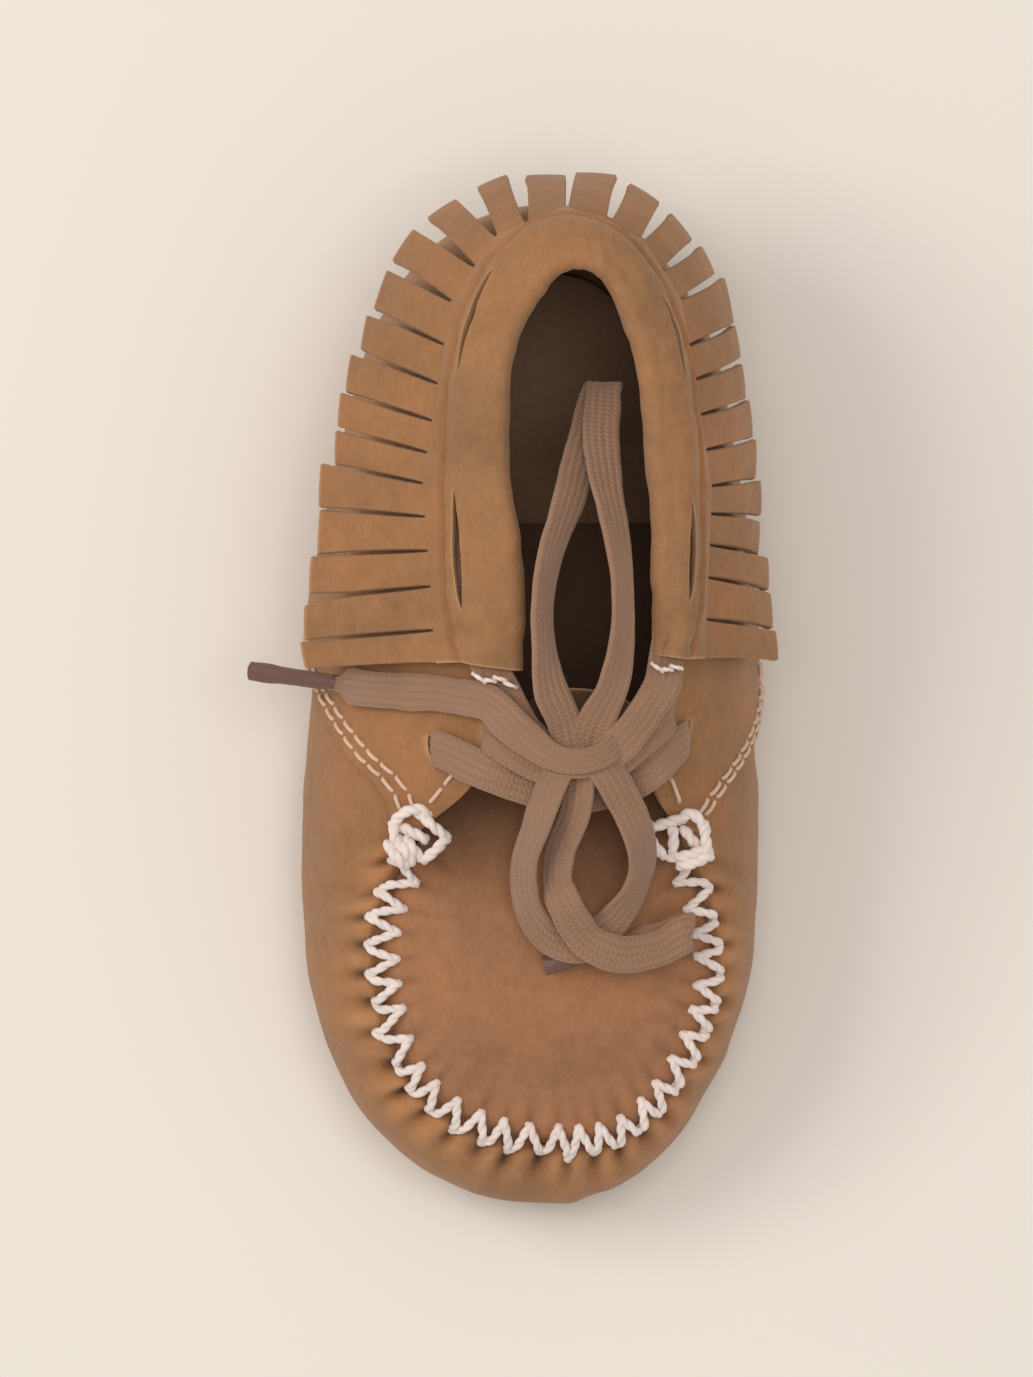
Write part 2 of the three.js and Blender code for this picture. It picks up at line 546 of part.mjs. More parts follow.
// The bow.
const UP = [0, 0, 1];
const KNOT = { middle: [5.2, -7.4, 48.2], size: [3.9, 2.3, 2] };
const LACE = {
  lace_crossing: [
    [[-9.8, -6.8, 43.2], [-0.5, 0, 0.86]], [[-6, -9.6, 45.1], [-0.3, 0, 0.95]], [[-1, -11.6, 44.7], UP],
    [[5, -12.6, 44.2], UP], [[10.6, -11.6, 44.5], UP], [[14, -9.4, 45.2], [0.3, 0, 0.95]],
    [[16.6, -6.8, 43.2], [0.6, 0, 0.8]],
  ],
  lace_lead_outer: [
    [[-4.4, -4.9, 46.4], [-0.3, 0, 0.95]], [[-2, -5.8, 47.2], UP], [[0.6, -6.8, 47.8], UP],
  ],
  lace_lead_inner: [
    [[14, -3, 46.4], [0.3, 0, 0.95]], [[12, -4.6, 47.2], UP], [[10, -6.6, 47.4], UP],
  ],
  lace_loop_rear: [
    [[4, -4.3, 48.9], [0.2, 0, 1]], [[2.2, 0, 51], [0.5, 0, 0.86]], [[1.4, 5, 52.6], [0.8, 0, 0.6]],
    [[1.2, 10.6, 53], [0.84, 0, 0.54]], [[2.2, 16, 52], [0.8, 0, 0.6]], [[4, 21.4, 49.6], [0.6, 0, 0.8]],
    [[5.6, 27, 46], [0.3, 0, 0.95]], [[7.2, 32.4, 41.6], UP], [[8.3, 35.4, 39.8], [0, -0.3, 0.9]],
    [[8.7, 36.3, 41.2], [0, -1, 0.1]], [[8.4, 34.6, 43.2], [0, -0.4, -0.9]], [[8.2, 30, 46.2], [-0.2, 0, -1]],
    [[8.9, 24, 49.2], [-0.5, 0, -0.86]], [[10.1, 17.6, 51.6], [-0.75, 0, -0.66]],
    [[10.8, 10.6, 52.6], [-0.84, 0, -0.54]], [[10.6, 5, 52], [-0.75, 0, -0.66]],
    [[9.4, 0, 50.6], [-0.5, 0, -0.86]], [[7.4, -4.2, 48.8], [-0.2, 0, -1]],
  ],
  lace_loop_front: [
    [[2.6, -10.4, 48.6], [-0.6, 0, 0.8]], [[0.8, -15.4, 47.4], [-0.7, 0, 0.7]], [[-0.8, -20.5, 43], [-0.7, 0, 0.7]],
    [[-0.6, -25.5, 39.6], [-0.6, -0.2, 0.7]], [[1.8, -29.4, 37.8], [-0.3, -0.3, 0.9]], [[5.8, -30.4, 37.5], UP],
    [[9.4, -28, 38], [0.4, -0.2, 0.9]], [[12.2, -24, 39.6], [0.7, 0, 0.7]], [[13.2, -19.8, 42.4], [0.6, 0, 0.8]],
    [[12, -15.6, 46.4], [0.4, 0, 0.9]], [[9.4, -10.4, 48.6], [0.5, 0, 0.86]],
  ],
  lace_end_outer: [
    [[0.6, -7, 49], [-0.2, 0, 1]], [[-2.4, -4.4, 49.2], [-0.2, 0, 1]], [[-5.2, -1.6, 47.6], [-0.4, 0, 0.9]],
    [[-9.6, -0.7, 44.4], [-0.6, 0, 0.8]], [[-14, -0.4, 41], [-0.65, 0, 0.75]], [[-18.6, 0, 37.6], [-0.7, 0, 0.7]],
    [[-22.6, 0.5, 32.6], [-0.75, 0, 0.66]],
  ],
  lace_end_inner: [
    [[5.6, -10.4, 47.8], [-0.6, 0, 0.8]], [[5.1, -14.6, 47.4], [-0.6, 0, 0.8]], [[3.6, -18.6, 44.2], [-0.6, 0, 0.8]],
    [[3, -22.6, 41.8], [-0.6, 0, 0.8]], [[4, -26, 41.8], [-0.3, 0, 0.95]], [[6.4, -29.8, 40.2], [0, 0.2, 1]],
    [[10.6, -31.6, 38.8], UP], [[15, -31, 37.2], UP], [[18, -29.4, 36.4], [0.2, 0, 1]],
    [[18.9, -28.8, 35.7], [-1, 0.3, 0]], [[18, -29.2, 34.9], [0, 0, -1]], [[15, -30.2, 35], [0, 0, -1]],
    [[11.4, -30.2, 35.2], [0, 0, -1]],
  ],
};
const LACE_STEPS = {
  lace_crossing: 14, lace_lead_outer: 3, lace_lead_inner: 3, lace_loop_rear: 42, lace_loop_front: 28,
  lace_end_outer: 16, lace_end_inner: 34,
};
const AGLETS = {
  aglet_outer: [[-23.2, 0.7, 31.8], [-33.8, 2.2, 25.6]],
  aglet_inner: [[10.9, -30.2, 35.3], [1.4, -33.1, 35.2]],
};

// The object.

const SUEDE_ROUGHNESS = 0.95;
const THREAD_ROUGHNESS = 0.8;
const AGLET_ROUGHNESS = 0.5;

const shoe = new THREE.Group();
shoe.position.set(...CENTRING);

function add(name, geometry, color, roughness = SUEDE_ROUGHNESS) {
  const mesh = new THREE.Mesh(geometry, new THREE.MeshStandardMaterial({ color, roughness, metalness: 0 }));
  mesh.name = name;
  shoe.add(mesh);
}

add('sole_wrap', soleWrap(), SUEDE_COLOUR);
add('toe_plug', toePlug(), PLUG_COLOUR);
add('quarter_outer', quarter('outer'), SUEDE_COLOUR);
add('quarter_inner', quarter('inner'), SUEDE_COLOUR);
add('collar_cuff', cut(collarSheet(), WINDOWS.map(laceWindow)), COLLAR_COLOUR);
add('fringe_band', fringeBand(), SUEDE_COLOUR);
add('insole_pad', insolePad(), LINING_COLOUR);
add('heel_sock', heelSock(), LINING_COLOUR);

FRINGE_GROUPS.forEach(({ name, cuts }) => {
  for (let i = 1; i < cuts.length; i++) {
    add(`${name}_strand_${i}`, strand(cuts[i - 1], cuts[i]), SUEDE_COLOUR);
  }
});

add('lace_collar', tunnelLace(), LACE_COLOUR);
add('lace_knot', knob(KNOT.middle, KNOT.size), LACE_COLOUR);
Object.entries(LACE).forEach(([name, stops]) => add(name, ribbon(stops, LACE_STEPS[name]), LACE_COLOUR));
Object.entries(AGLETS).forEach(([name, ends]) => {
  add(name, thread(route(ends), AGLET_RADIUS, 1, 10), AGLET_COLOUR, AGLET_ROUGHNESS);
});

add('toe_seam_thread', toeSeam(), THREAD_COLOUR, THREAD_ROUGHNESS);
add('tack_outer', knob([-13.9, -17.9, 38.9], TACK_SIZE), THREAD_COLOUR, THREAD_ROUGHNESS);
add('tack_inner', knob([17.5, -17.7, 39.1], TACK_SIZE), THREAD_COLOUR, THREAD_ROUGHNESS);

// Two rows of stitching above each quarter's lower edge, and one along its front edge.
const SIDE_ROWS = { lower: 0.035, upper: 0.07 };
Object.entries(SIDE_ROWS).forEach(([name, above]) => {
  const riseAt = (at) => quarterBottom(at) + above;
  add(`side_seam_outer_${name}`, seamRow(8.5, 4.9, riseAt), SEAM_COLOUR, THREAD_ROUGHNESS);
  add(`side_seam_inner_${name}`, seamRow(19.5, 22.8, riseAt), SEAM_COLOUR, THREAD_ROUGHNESS);
});
const frontEdge = () => 0.93;
add('throat_seam_outer', seamRow(8.3, 7.5, frontEdge), SEAM_COLOUR, THREAD_ROUGHNESS);
add('throat_seam_inner', seamRow(19.8, 20.6, frontEdge), SEAM_COLOUR, THREAD_ROUGHNESS);

const COLLAR_TACKS = {
  collar_tack_outer: [[-7, 1.4, 48], [-2, 0.6, 48.8]],
  collar_tack_inner: [[14.2, 2.6, 48.4], [17.6, 2.2, 47.6]],
};
Object.entries(COLLAR_TACKS).forEach(([name, ends]) => {
  add(name, thread(route(ends), COLLAR_TACK_RADIUS, 1), THREAD_COLOUR, THREAD_ROUGHNESS);
});

export default shoe;
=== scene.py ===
"""A baby's suede moccasin: soft wrap sole gathered to a toe plug with heavy white thread, two quarters,
a folded collar with a cut fringe, and a flat ribbed lace tied in a bow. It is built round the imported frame
of the shoe."""

import json
import math

import bmesh
import bpy
import numpy as np
from mathutils import Vector
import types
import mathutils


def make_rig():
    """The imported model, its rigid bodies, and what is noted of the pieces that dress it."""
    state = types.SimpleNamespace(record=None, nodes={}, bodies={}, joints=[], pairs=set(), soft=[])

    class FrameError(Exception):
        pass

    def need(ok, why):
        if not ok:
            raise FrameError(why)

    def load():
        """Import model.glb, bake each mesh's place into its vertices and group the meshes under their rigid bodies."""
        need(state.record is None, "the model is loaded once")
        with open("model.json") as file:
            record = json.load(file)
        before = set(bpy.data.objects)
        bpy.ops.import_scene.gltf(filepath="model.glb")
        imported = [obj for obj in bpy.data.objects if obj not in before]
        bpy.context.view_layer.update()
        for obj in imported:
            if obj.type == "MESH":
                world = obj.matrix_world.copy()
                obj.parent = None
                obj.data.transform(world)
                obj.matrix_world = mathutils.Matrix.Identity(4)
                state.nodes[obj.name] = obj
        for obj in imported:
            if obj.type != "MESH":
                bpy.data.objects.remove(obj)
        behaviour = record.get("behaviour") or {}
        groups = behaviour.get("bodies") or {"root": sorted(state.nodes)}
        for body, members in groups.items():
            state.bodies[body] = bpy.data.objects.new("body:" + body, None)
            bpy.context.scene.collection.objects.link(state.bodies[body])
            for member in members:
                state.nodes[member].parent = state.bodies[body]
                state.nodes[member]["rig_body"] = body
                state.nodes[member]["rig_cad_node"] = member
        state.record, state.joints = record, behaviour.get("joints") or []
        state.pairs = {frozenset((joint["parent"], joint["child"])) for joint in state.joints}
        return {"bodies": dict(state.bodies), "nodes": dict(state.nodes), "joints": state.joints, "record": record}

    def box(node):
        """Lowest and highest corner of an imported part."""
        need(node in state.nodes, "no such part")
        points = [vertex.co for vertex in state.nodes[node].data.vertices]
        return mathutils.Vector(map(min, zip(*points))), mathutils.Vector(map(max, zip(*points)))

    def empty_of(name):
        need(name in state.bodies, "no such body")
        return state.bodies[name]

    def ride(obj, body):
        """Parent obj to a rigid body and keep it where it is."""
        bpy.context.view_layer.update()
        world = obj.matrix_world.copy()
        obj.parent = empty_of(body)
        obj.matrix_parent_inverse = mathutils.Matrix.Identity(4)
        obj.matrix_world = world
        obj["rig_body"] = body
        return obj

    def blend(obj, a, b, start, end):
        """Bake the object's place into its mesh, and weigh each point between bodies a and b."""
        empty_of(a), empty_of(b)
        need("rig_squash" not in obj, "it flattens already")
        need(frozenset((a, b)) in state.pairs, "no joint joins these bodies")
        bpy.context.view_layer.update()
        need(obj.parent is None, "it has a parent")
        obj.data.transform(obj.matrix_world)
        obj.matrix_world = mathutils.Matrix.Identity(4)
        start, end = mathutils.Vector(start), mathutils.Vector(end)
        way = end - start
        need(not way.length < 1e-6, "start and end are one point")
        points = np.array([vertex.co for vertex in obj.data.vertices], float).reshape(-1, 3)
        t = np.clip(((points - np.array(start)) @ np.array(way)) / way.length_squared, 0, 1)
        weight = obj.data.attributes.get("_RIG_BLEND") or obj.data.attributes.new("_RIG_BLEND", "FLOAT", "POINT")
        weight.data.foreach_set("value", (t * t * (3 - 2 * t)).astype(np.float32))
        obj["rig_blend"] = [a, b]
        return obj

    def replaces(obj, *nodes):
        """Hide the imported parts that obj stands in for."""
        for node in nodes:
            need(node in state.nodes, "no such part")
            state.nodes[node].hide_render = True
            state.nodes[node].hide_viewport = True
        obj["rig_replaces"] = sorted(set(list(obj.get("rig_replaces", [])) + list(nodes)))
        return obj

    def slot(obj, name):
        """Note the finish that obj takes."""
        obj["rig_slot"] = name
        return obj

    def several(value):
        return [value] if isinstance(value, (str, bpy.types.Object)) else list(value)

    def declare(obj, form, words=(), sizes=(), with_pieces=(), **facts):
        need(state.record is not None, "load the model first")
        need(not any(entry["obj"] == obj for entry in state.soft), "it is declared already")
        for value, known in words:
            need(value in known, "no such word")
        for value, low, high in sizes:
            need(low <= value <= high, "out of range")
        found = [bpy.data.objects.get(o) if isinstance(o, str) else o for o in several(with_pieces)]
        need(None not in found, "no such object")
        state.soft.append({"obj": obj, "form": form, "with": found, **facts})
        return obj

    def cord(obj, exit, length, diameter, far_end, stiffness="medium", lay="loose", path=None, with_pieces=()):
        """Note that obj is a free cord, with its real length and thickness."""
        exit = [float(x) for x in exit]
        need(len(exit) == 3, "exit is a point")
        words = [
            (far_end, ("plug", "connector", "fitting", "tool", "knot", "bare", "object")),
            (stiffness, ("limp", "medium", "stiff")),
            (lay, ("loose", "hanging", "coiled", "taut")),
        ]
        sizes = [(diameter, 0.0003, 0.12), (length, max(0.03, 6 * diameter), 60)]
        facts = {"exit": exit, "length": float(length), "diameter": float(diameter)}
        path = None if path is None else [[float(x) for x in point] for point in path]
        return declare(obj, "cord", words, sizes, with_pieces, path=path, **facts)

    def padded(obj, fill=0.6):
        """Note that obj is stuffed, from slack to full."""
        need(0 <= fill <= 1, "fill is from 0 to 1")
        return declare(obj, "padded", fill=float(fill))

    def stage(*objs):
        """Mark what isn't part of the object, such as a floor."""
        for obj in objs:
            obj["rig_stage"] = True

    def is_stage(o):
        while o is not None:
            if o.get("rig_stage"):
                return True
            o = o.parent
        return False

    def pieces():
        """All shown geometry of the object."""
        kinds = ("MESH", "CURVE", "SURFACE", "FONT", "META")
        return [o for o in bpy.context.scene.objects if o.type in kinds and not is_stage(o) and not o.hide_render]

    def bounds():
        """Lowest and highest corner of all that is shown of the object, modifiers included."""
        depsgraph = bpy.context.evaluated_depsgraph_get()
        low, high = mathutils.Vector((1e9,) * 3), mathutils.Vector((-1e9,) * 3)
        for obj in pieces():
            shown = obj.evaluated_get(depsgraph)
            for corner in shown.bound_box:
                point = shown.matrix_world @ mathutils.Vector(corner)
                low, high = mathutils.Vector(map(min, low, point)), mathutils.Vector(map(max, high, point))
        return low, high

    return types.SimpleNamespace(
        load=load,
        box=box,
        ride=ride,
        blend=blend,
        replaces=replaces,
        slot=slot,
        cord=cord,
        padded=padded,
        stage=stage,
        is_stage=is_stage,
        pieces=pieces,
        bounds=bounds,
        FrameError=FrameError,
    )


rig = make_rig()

bl_info = {
    "name": "Suede moccasin",
    "version": (1, 0, 0),
    "blender": (4, 5, 0),
    "location": "View3D > Sidebar > Moccasin",
    "description": "Builds a fringed suede moccasin round its frame, piece by piece",
    "category": "Add Mesh",
}

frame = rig.load()
CAD_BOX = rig.bounds()
SHOE = "shoe"
MM = 0.001

# The shoe is set out in millimetres: toe towards -Y, heel towards +Y, the outer side of the foot towards -X.
# The knot's node tells how far the frame was moved to bring its middle over the origin.
KNOT_MIDDLE = np.array([5.2, -7.4, 48.2])
CENTRING = np.array((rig.box("lace_knot")[0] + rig.box("lace_knot")[1]) / 2) / MM - KNOT_MIDDLE

# Stations round the shoe, from the heel down the outer side, round the toe and back up the inner side:
# the widest line of the wall (x, y), then the upper edge of the leather (x, y, z).
STATIONS = np.array([
    (3, 57, 4, 53.2, 45.4), (-9, 54, -2.2, 50.4, 45.2), (-17, 44, -6.4, 41.6, 44.8),
    (-21.6, 30, -7.8, 29, 44.4), (-24.6, 16, -8, 16, 44), (-26.2, 6, -7.4, 6, 43.6),
    (-26.8, -2, -1.6, -0.6, 44.8), (-27.3, -9, -2.4, -6.4, 43.4), (-27.6, -14, -6.8, -11, 40.8),
    (-27.8, -20, -13.4, -17, 35.6), (-27.6, -28, -18.4, -27, 31.5), (-26.5, -37, -18.4, -37, 28.8),
    (-21.5, -49.5, -14.8, -47.4, 26), (-11.5, -59, -6.8, -53.4, 24), (1.5, -62.3, 3, -55.2, 23.2),
    (13, -58.5, 11.4, -54, 24), (21.5, -48, 18.2, -46.8, 26), (26, -36, 22.2, -37, 28.8),
    (27.2, -27, 21.6, -27, 31.5), (27.4, -19, 17.6, -17, 35.6), (27.3, -13, 14.4, -12.4, 39.8),
    (27, -8, 12.8, -7.6, 42.6), (26.6, -2, 12.8, -1, 44.6), (26, 5, 17, 6, 43.6), (25.4, 14, 17.6, 16, 44),
    (23.4, 27, 17.2, 29, 44.4), (20.4, 41, 15.4, 41, 44.8), (13, 53, 10.8, 50.2, 45.2),
], float)
COUNT = len(STATIONS)
OUTER_TACK, TOE, INNER_TACK = 9, 14, 19
WIDEST_HEIGHT, WIDEST_SHARE = 12.0, 0.3
SOLE_INSET = 5.0
WALL_SWEEP, HEEL_SWEEP_LESS = 72, 20  # degrees that the wall turns above its widest line; less at the heel
LEATHER_SLACK = 1.1  # length of the leather over the straight way
QUARTER_LOW = 0.35  # rise of the quarters' lower edge at the heel
OUTER_CLIMB, OUTER_CLIMB_FROM = 0.139, 4.9  # rise for each station, and where it starts, from the heel
INNER_CLIMB, INNER_CLIMB_FROM = 0.175, 5.78
MIDDLE = np.array([0.5, -2.0, 0.0])
SUEDE, QUARTER_SUEDE, PLUG_SUEDE, FRINGE_SUEDE, COLLAR_SUEDE = 1.5, 1.2, 1.3, 1.1, 0.9
PLY_GAP = 0.3

# The plug: its tail under the throat, and its crown, round which its outline runs.
PLUG_TAIL = np.array([
    (15.6, -11, 37.4), (14.4, -5, 39.6), (12.2, -1.4, 41), (8.6, 0.2, 41.6), (4, 0.6, 41.8),
    (0.4, -0.4, 41.2), (-3, -4, 39.8), (-7.6, -9.6, 37.4),
], float)
PLUG_MIDDLE = np.array([2.0, -30.0, 33.6])
PLUG_INSET = 0.5
PLUG_CORNERS = (10.4, 18.6)  # stations of its outline, past each tack, where it reaches further out
CORNER_FLAP, CORNER_WIDTH = 1.4, 0.5
THROAT_DIP = 1.3
THROAT_EDGE = (-29, -12.5)  # along the shoe, where the plug starts to dip and where it is under the throat

# The collar, from the front of the outer side round the heel: its lower edge, the edge of the mouth, and the
# tip of the fringe there.
RIDGE = np.array([
    (-8.4, 3.2, 46.8), (-9.8, 10, 47), (-10.2, 20, 47.4), (-10, 32, 47.8), (-8.6, 42, 48.2),
    (-5.2, 50, 48.6), (-0.8, 54.4, 48.8), (3.6, 56, 49), (9.4, 54.6, 48.8), (14.6, 49, 48.6),
    (17.8, 41, 48.2), (19.4, 30, 47.8), (19.8, 19, 47.4), (19.6, 10, 47), (18.4, 3.6, 46.8),
], float)
MOUTH = np.array([
    (-0.6, 2, 48.6), (-0.2, 10, 50), (-1.4, 18, 51.5), (-3, 29, 53), (-3, 38, 54), (-0.6, 44.8, 54.6),
    (2.4, 49, 54.9), (6.2, 50.6, 55), (9.4, 48.8, 54.9), (12, 43, 54.6), (13.4, 36.6, 54), (14, 28, 53),
    (14.3, 18, 51.5), (14.2, 10, 50), (13.6, 4.2, 48.6),
], float)
TIP = np.array([
    (-27.2, 2.4, 34.5), (-26.7, 10.7, 35), (-24.8, 22.8, 35.5), (-22.5, 35.2, 35.5), (-19, 46.8, 34),
    (-12.6, 56, 31.5), (-2.4, 61.5, 30.5), (4, 61.8, 30), (12, 60.6, 30), (20, 53.6, 30), (24, 43.4, 29.5),
    (26, 31.7, 29), (27.3, 19.7, 29), (28.3, 10.3, 29), (29.2, 3.3, 29),
], float)
COLLAR_SPAN = len(RIDGE) - 1
TUNNEL_DEPTH = 2.4
INNER_LEAF_END = 3.4
WINDOWS = ((0.95, 2.35), (3.6, 5.1), (9.2, 10.35), (11.65, 12.95))
WINDOW_INWARD = 1.7

# The fringe: the collar stations that part the strands of each group.
FRINGE_CUTS = {
    "fringe_outer_front": (0, 0.43, 1, 1.46, 1.9, 2.33),
    "fringe_outer_rear": (2.33, 2.67, 3.02, 3.43, 3.86, 4.34),
    "fringe_heel_1": (4.34, 4.93, 5.45),
    "fringe_heel_2": (5.45, 6.15, 7.08),
    "fringe_heel_3": (7.08, 7.85, 8.5),
    "fringe_heel_4": (8.5, 9, 9.46),
    "fringe_inner_rear": (9.46, 9.98, 10.36, 10.75, 11.14, 11.54),
    "fringe_inner_front": (11.54, 11.93, 12.37, 12.83, 13.43, 14),
}
HINGE_DROP = 3.1

# The lace: each stop is a place, and the direction that the lace's flat side faces there.
LACE_ROUTES = {
    "lace_loop_rear": (
        (4.6, -7.6, 48.3, 0.1, 0, 1), (4, -4.3, 48.9, 0.2, 0, 1), (2.2, 0, 51, 0.5, 0, 0.86),
        (1.4, 5, 52.6, 0.8, 0, 0.6), (1.2, 10.6, 53, 0.84, 0, 0.54), (2.2, 16, 52, 0.8, 0, 0.6),
        (4, 21.4, 49.6, 0.6, 0, 0.8), (5.6, 27, 46, 0.3, 0, 0.95), (7.2, 32.4, 41.6, 0, 0, 1),
        (8.3, 35.4, 39.8, 0, -0.3, 0.9), (8.7, 36.3, 41.2, 0, -1, 0.1), (8.4, 34.6, 43.2, 0, -0.4, -0.9),
        (8.2, 30, 46.2, -0.2, 0, -1), (8.9, 24, 49.2, -0.5, 0, -0.86), (10.1, 17.6, 51.6, -0.75, 0, -0.66),
        (10.8, 10.6, 52.6, -0.84, 0, -0.54), (10.6, 5, 52, -0.75, 0, -0.66), (9.4, 0, 50.6, -0.5, 0, -0.86),
        (7.4, -4.2, 48.8, -0.2, 0, -1), (6.4, -7.6, 48, -0.1, 0, -1),
    ),
    "lace_loop_front": (
        (4, -8, 48.9, -0.4, 0, 0.9), (2.6, -10.4, 48.6, -0.6, 0, 0.8), (0.8, -15.4, 47.4, -0.7, 0, 0.7),
        (-0.8, -20.5, 43, -0.7, 0, 0.7), (-0.6, -25.5, 39.6, -0.6, -0.2, 0.7),
        (1.8, -29.4, 37.8, -0.3, -0.3, 0.9), (5.8, -30.4, 37.5, 0, 0, 1), (9.4, -28, 38, 0.4, -0.2, 0.9),
        (12.2, -24, 39.6, 0.7, 0, 0.7), (13.2, -19.8, 42.4, 0.6, 0, 0.8), (12, -15.6, 46.4, 0.4, 0, 0.9),
        (9.4, -10.4, 48.6, 0.5, 0, 0.86), (7.4, -7.8, 49, 0.3, 0, 0.9),
    ),
    "lace_end_outer": (
        (10.8, -5.2, 47.4, 0.75, 0.3, 0.6), (9.2, -7.2, 49.4, 0.5, 0.1, 0.86), (7, -8.3, 50.3, 0.2, 0, 1),
        (4.4, -8.6, 50.5, 0, 0, 1), (2, -7.8, 50.2, -0.2, 0, 1), (-0.2, -6.2, 49.7, -0.2, 0, 1),
        (-2.4, -4.4, 49.2, -0.2, 0, 1), (-5.2, -1.6, 47.6, -0.4, 0, 0.9), (-9.6, -0.7, 44.4, -0.6, 0, 0.8),
        (-14, -0.4, 41, -0.65, 0, 0.75), (-18.6, 0, 37.6, -0.7, 0, 0.7), (-22.4, 0.5, 32.9, -0.7, 0, 0.7),
        (-24.6, 0.9, 31, -0.5, 0, 0.86),
    ),
    "lace_end_inner": (
        (5.8, -8.2, 48, -0.5, 0, 0.85), (5.6, -10.4, 47.8, -0.6, 0, 0.8), (5.1, -14.6, 47.4, -0.6, 0, 0.8),
        (3.6, -18.6, 44.2, -0.6, 0, 0.8), (3, -22.6, 41.8, -0.6, 0, 0.8), (4, -26, 41.8, -0.3, 0, 0.95),
        (6.4, -29.8, 40.2, 0, 0.2, 1), (10.6, -31.6, 38.8, 0, 0, 1), (15, -31, 37.2, 0, 0, 1),
        (18, -29.4, 36.4, 0.2, 0, 1), (18.9, -28.8, 35.7, 1, -0.3, 0), (18, -29.2, 34.9, 0, 0, -1),
        (15, -30.2, 35, 0, 0, -1), (11.6, -30.2, 35.2, 0, 0, -1), (9.4, -30.7, 35.3, 0, 0, -1),
    ),
    "lace_crossing": (
        (-10.9, -7.2, 38, -0.95, 0, 0.1), (-11.6, -7.2, 40.6, -0.95, 0, 0.2),
        (-11.1, -7.2, 42.5, -0.6, 0, 0.8), (-8.6, -8.2, 44, -0.4, 0, 0.9), (-5, -10, 45.1, -0.25, 0, 0.95),
        (-1, -11.5, 44.8, 0, 0, 1), (5, -12.6, 44.2, 0, 0, 1), (10.6, -11.6, 44.5, 0, 0, 1),
        (14, -9.6, 45, 0.3, 0, 0.95), (17, -7, 43.6, 0.6, 0, 0.8), (18.3, -5.9, 41.4, 0.95, 0, 0.2),
        (17.3, -5.6, 38.6, 0.9, 0, -0.1),
    ),
    "lace_lead_outer": (
        (-4.4, -4.8, 41.6, -0.95, 0, 0.1), (-5.2, -4.9, 44, -0.95, 0, 0.3),
        (-4.9, -5.4, 45.9, -0.5, 0, 0.85), (-2.4, -7.2, 46.9, -0.2, 0, 1), (0.6, -8.8, 47.4, 0, 0, 1),
        (3.6, -9, 47.4, 0, 0, 1),
    ),
    "lace_lead_inner": (
        (14.8, -1.9, 41.2, 0.95, 0, 0), (16.1, -2.1, 43.9, 0.9, 0, 0.4), (15.4, -3.4, 45.8, 0.4, 0, 0.9),
        (12.6, -6.2, 46.8, 0.2, 0, 1), (10, -8.4, 47.2, 0, 0, 1), (7, -9, 47.3, 0, 0, 1),
    ),
}
AGLET_ENDS = {
    "aglet_outer": ((-23.2, 0.7, 31.8), (-33.8, 2.2, 25.6)),
    "aglet_inner": ((10.9, -30.2, 35.3), (1.4, -33.1, 35.2)),
}


# Curves and surfaces, in millimetres.

def catmull(points, at, closed=False):
    """The smooth line through points, at the stations given: 0 is the first point, 1 the second."""
    points = np.asarray(points, float)
    at = np.asarray(at, float)
    count = len(points)
    if closed:
        base = np.floor(at)
        picks = [points[(base.astype(int) + k) % count] for k in (-1, 0, 1, 2)]
    else:
        ends = np.vstack([2 * points[0] - points[1], points, 2 * points[-1] - points[-2]])
        base = np.clip(np.floor(at), 0, count - 2)
        picks = [ends[base.astype(int) + k] for k in range(4)]
    a, b, c, d = picks
    t = (at - base)[..., None]
    return 0.5 * (2 * b + (c - a) * t + (2 * a - 5 * b + 4 * c - d) * t**2 + (3 * b - a - 3 * c + d) * t**3)


def unit(vectors):
    return vectors / np.maximum(np.linalg.norm(vectors, axis=-1, keepdims=True), 1e-9)


def mix(a, b, share):
    return a + (b - a) * np.asarray(share)[..., None]


def smooth(x, low, high):
    """0 at low, 1 at high, smooth between; low may be the greater."""
    t = np.clip((x - low) / (high - low), 0, 1)
    return t * t * (3 - 2 * t)


def bell(x, width, middle=0.0):
    """1 at the middle, falling away on both sides of it."""
    return np.exp(-(((x - middle) / width) ** 2))


def wave(x, seed, pitch=1.0):
    """A soft irregular wave between about -1 and 1, the same each run."""
    x = np.asarray(x, float) / pitch
    parts = [math.sin(seed * 12.9 + k) * 3.1 for k in range(4)]
    rates = (0.71, 1.13, 1.87, 2.93)
    return sum(np.sin(2 * np.pi * f * x + p) / (1 + k) for k, (f, p) in enumerate(zip(rates, parts))) / 1.9


def run_along(line):
    """Distance along a line of points from its first to each of them."""
    return np.concatenate([[0], np.cumsum(np.linalg.norm(np.diff(line, axis=0), axis=1))])


def wide_line(at):
    p = catmull(STATIONS[:, :2], at, True)
    return np.concatenate([p, np.full(p.shape[:-1] + (1,), WIDEST_HEIGHT)], axis=-1)


def edge_line(at):
    return catmull(STATIONS[:, 2:], at, True)


def ground_line(at):
    wide = wide_line(at)
    ahead = unit(wide_line(at + 0.05) - wide_line(at - 0.05))
    inset = np.stack([-ahead[..., 1], ahead[..., 0], np.zeros_like(ahead[..., 0])], axis=-1) * SOLE_INSET
    return (wide + inset) * (1, 1, 0)


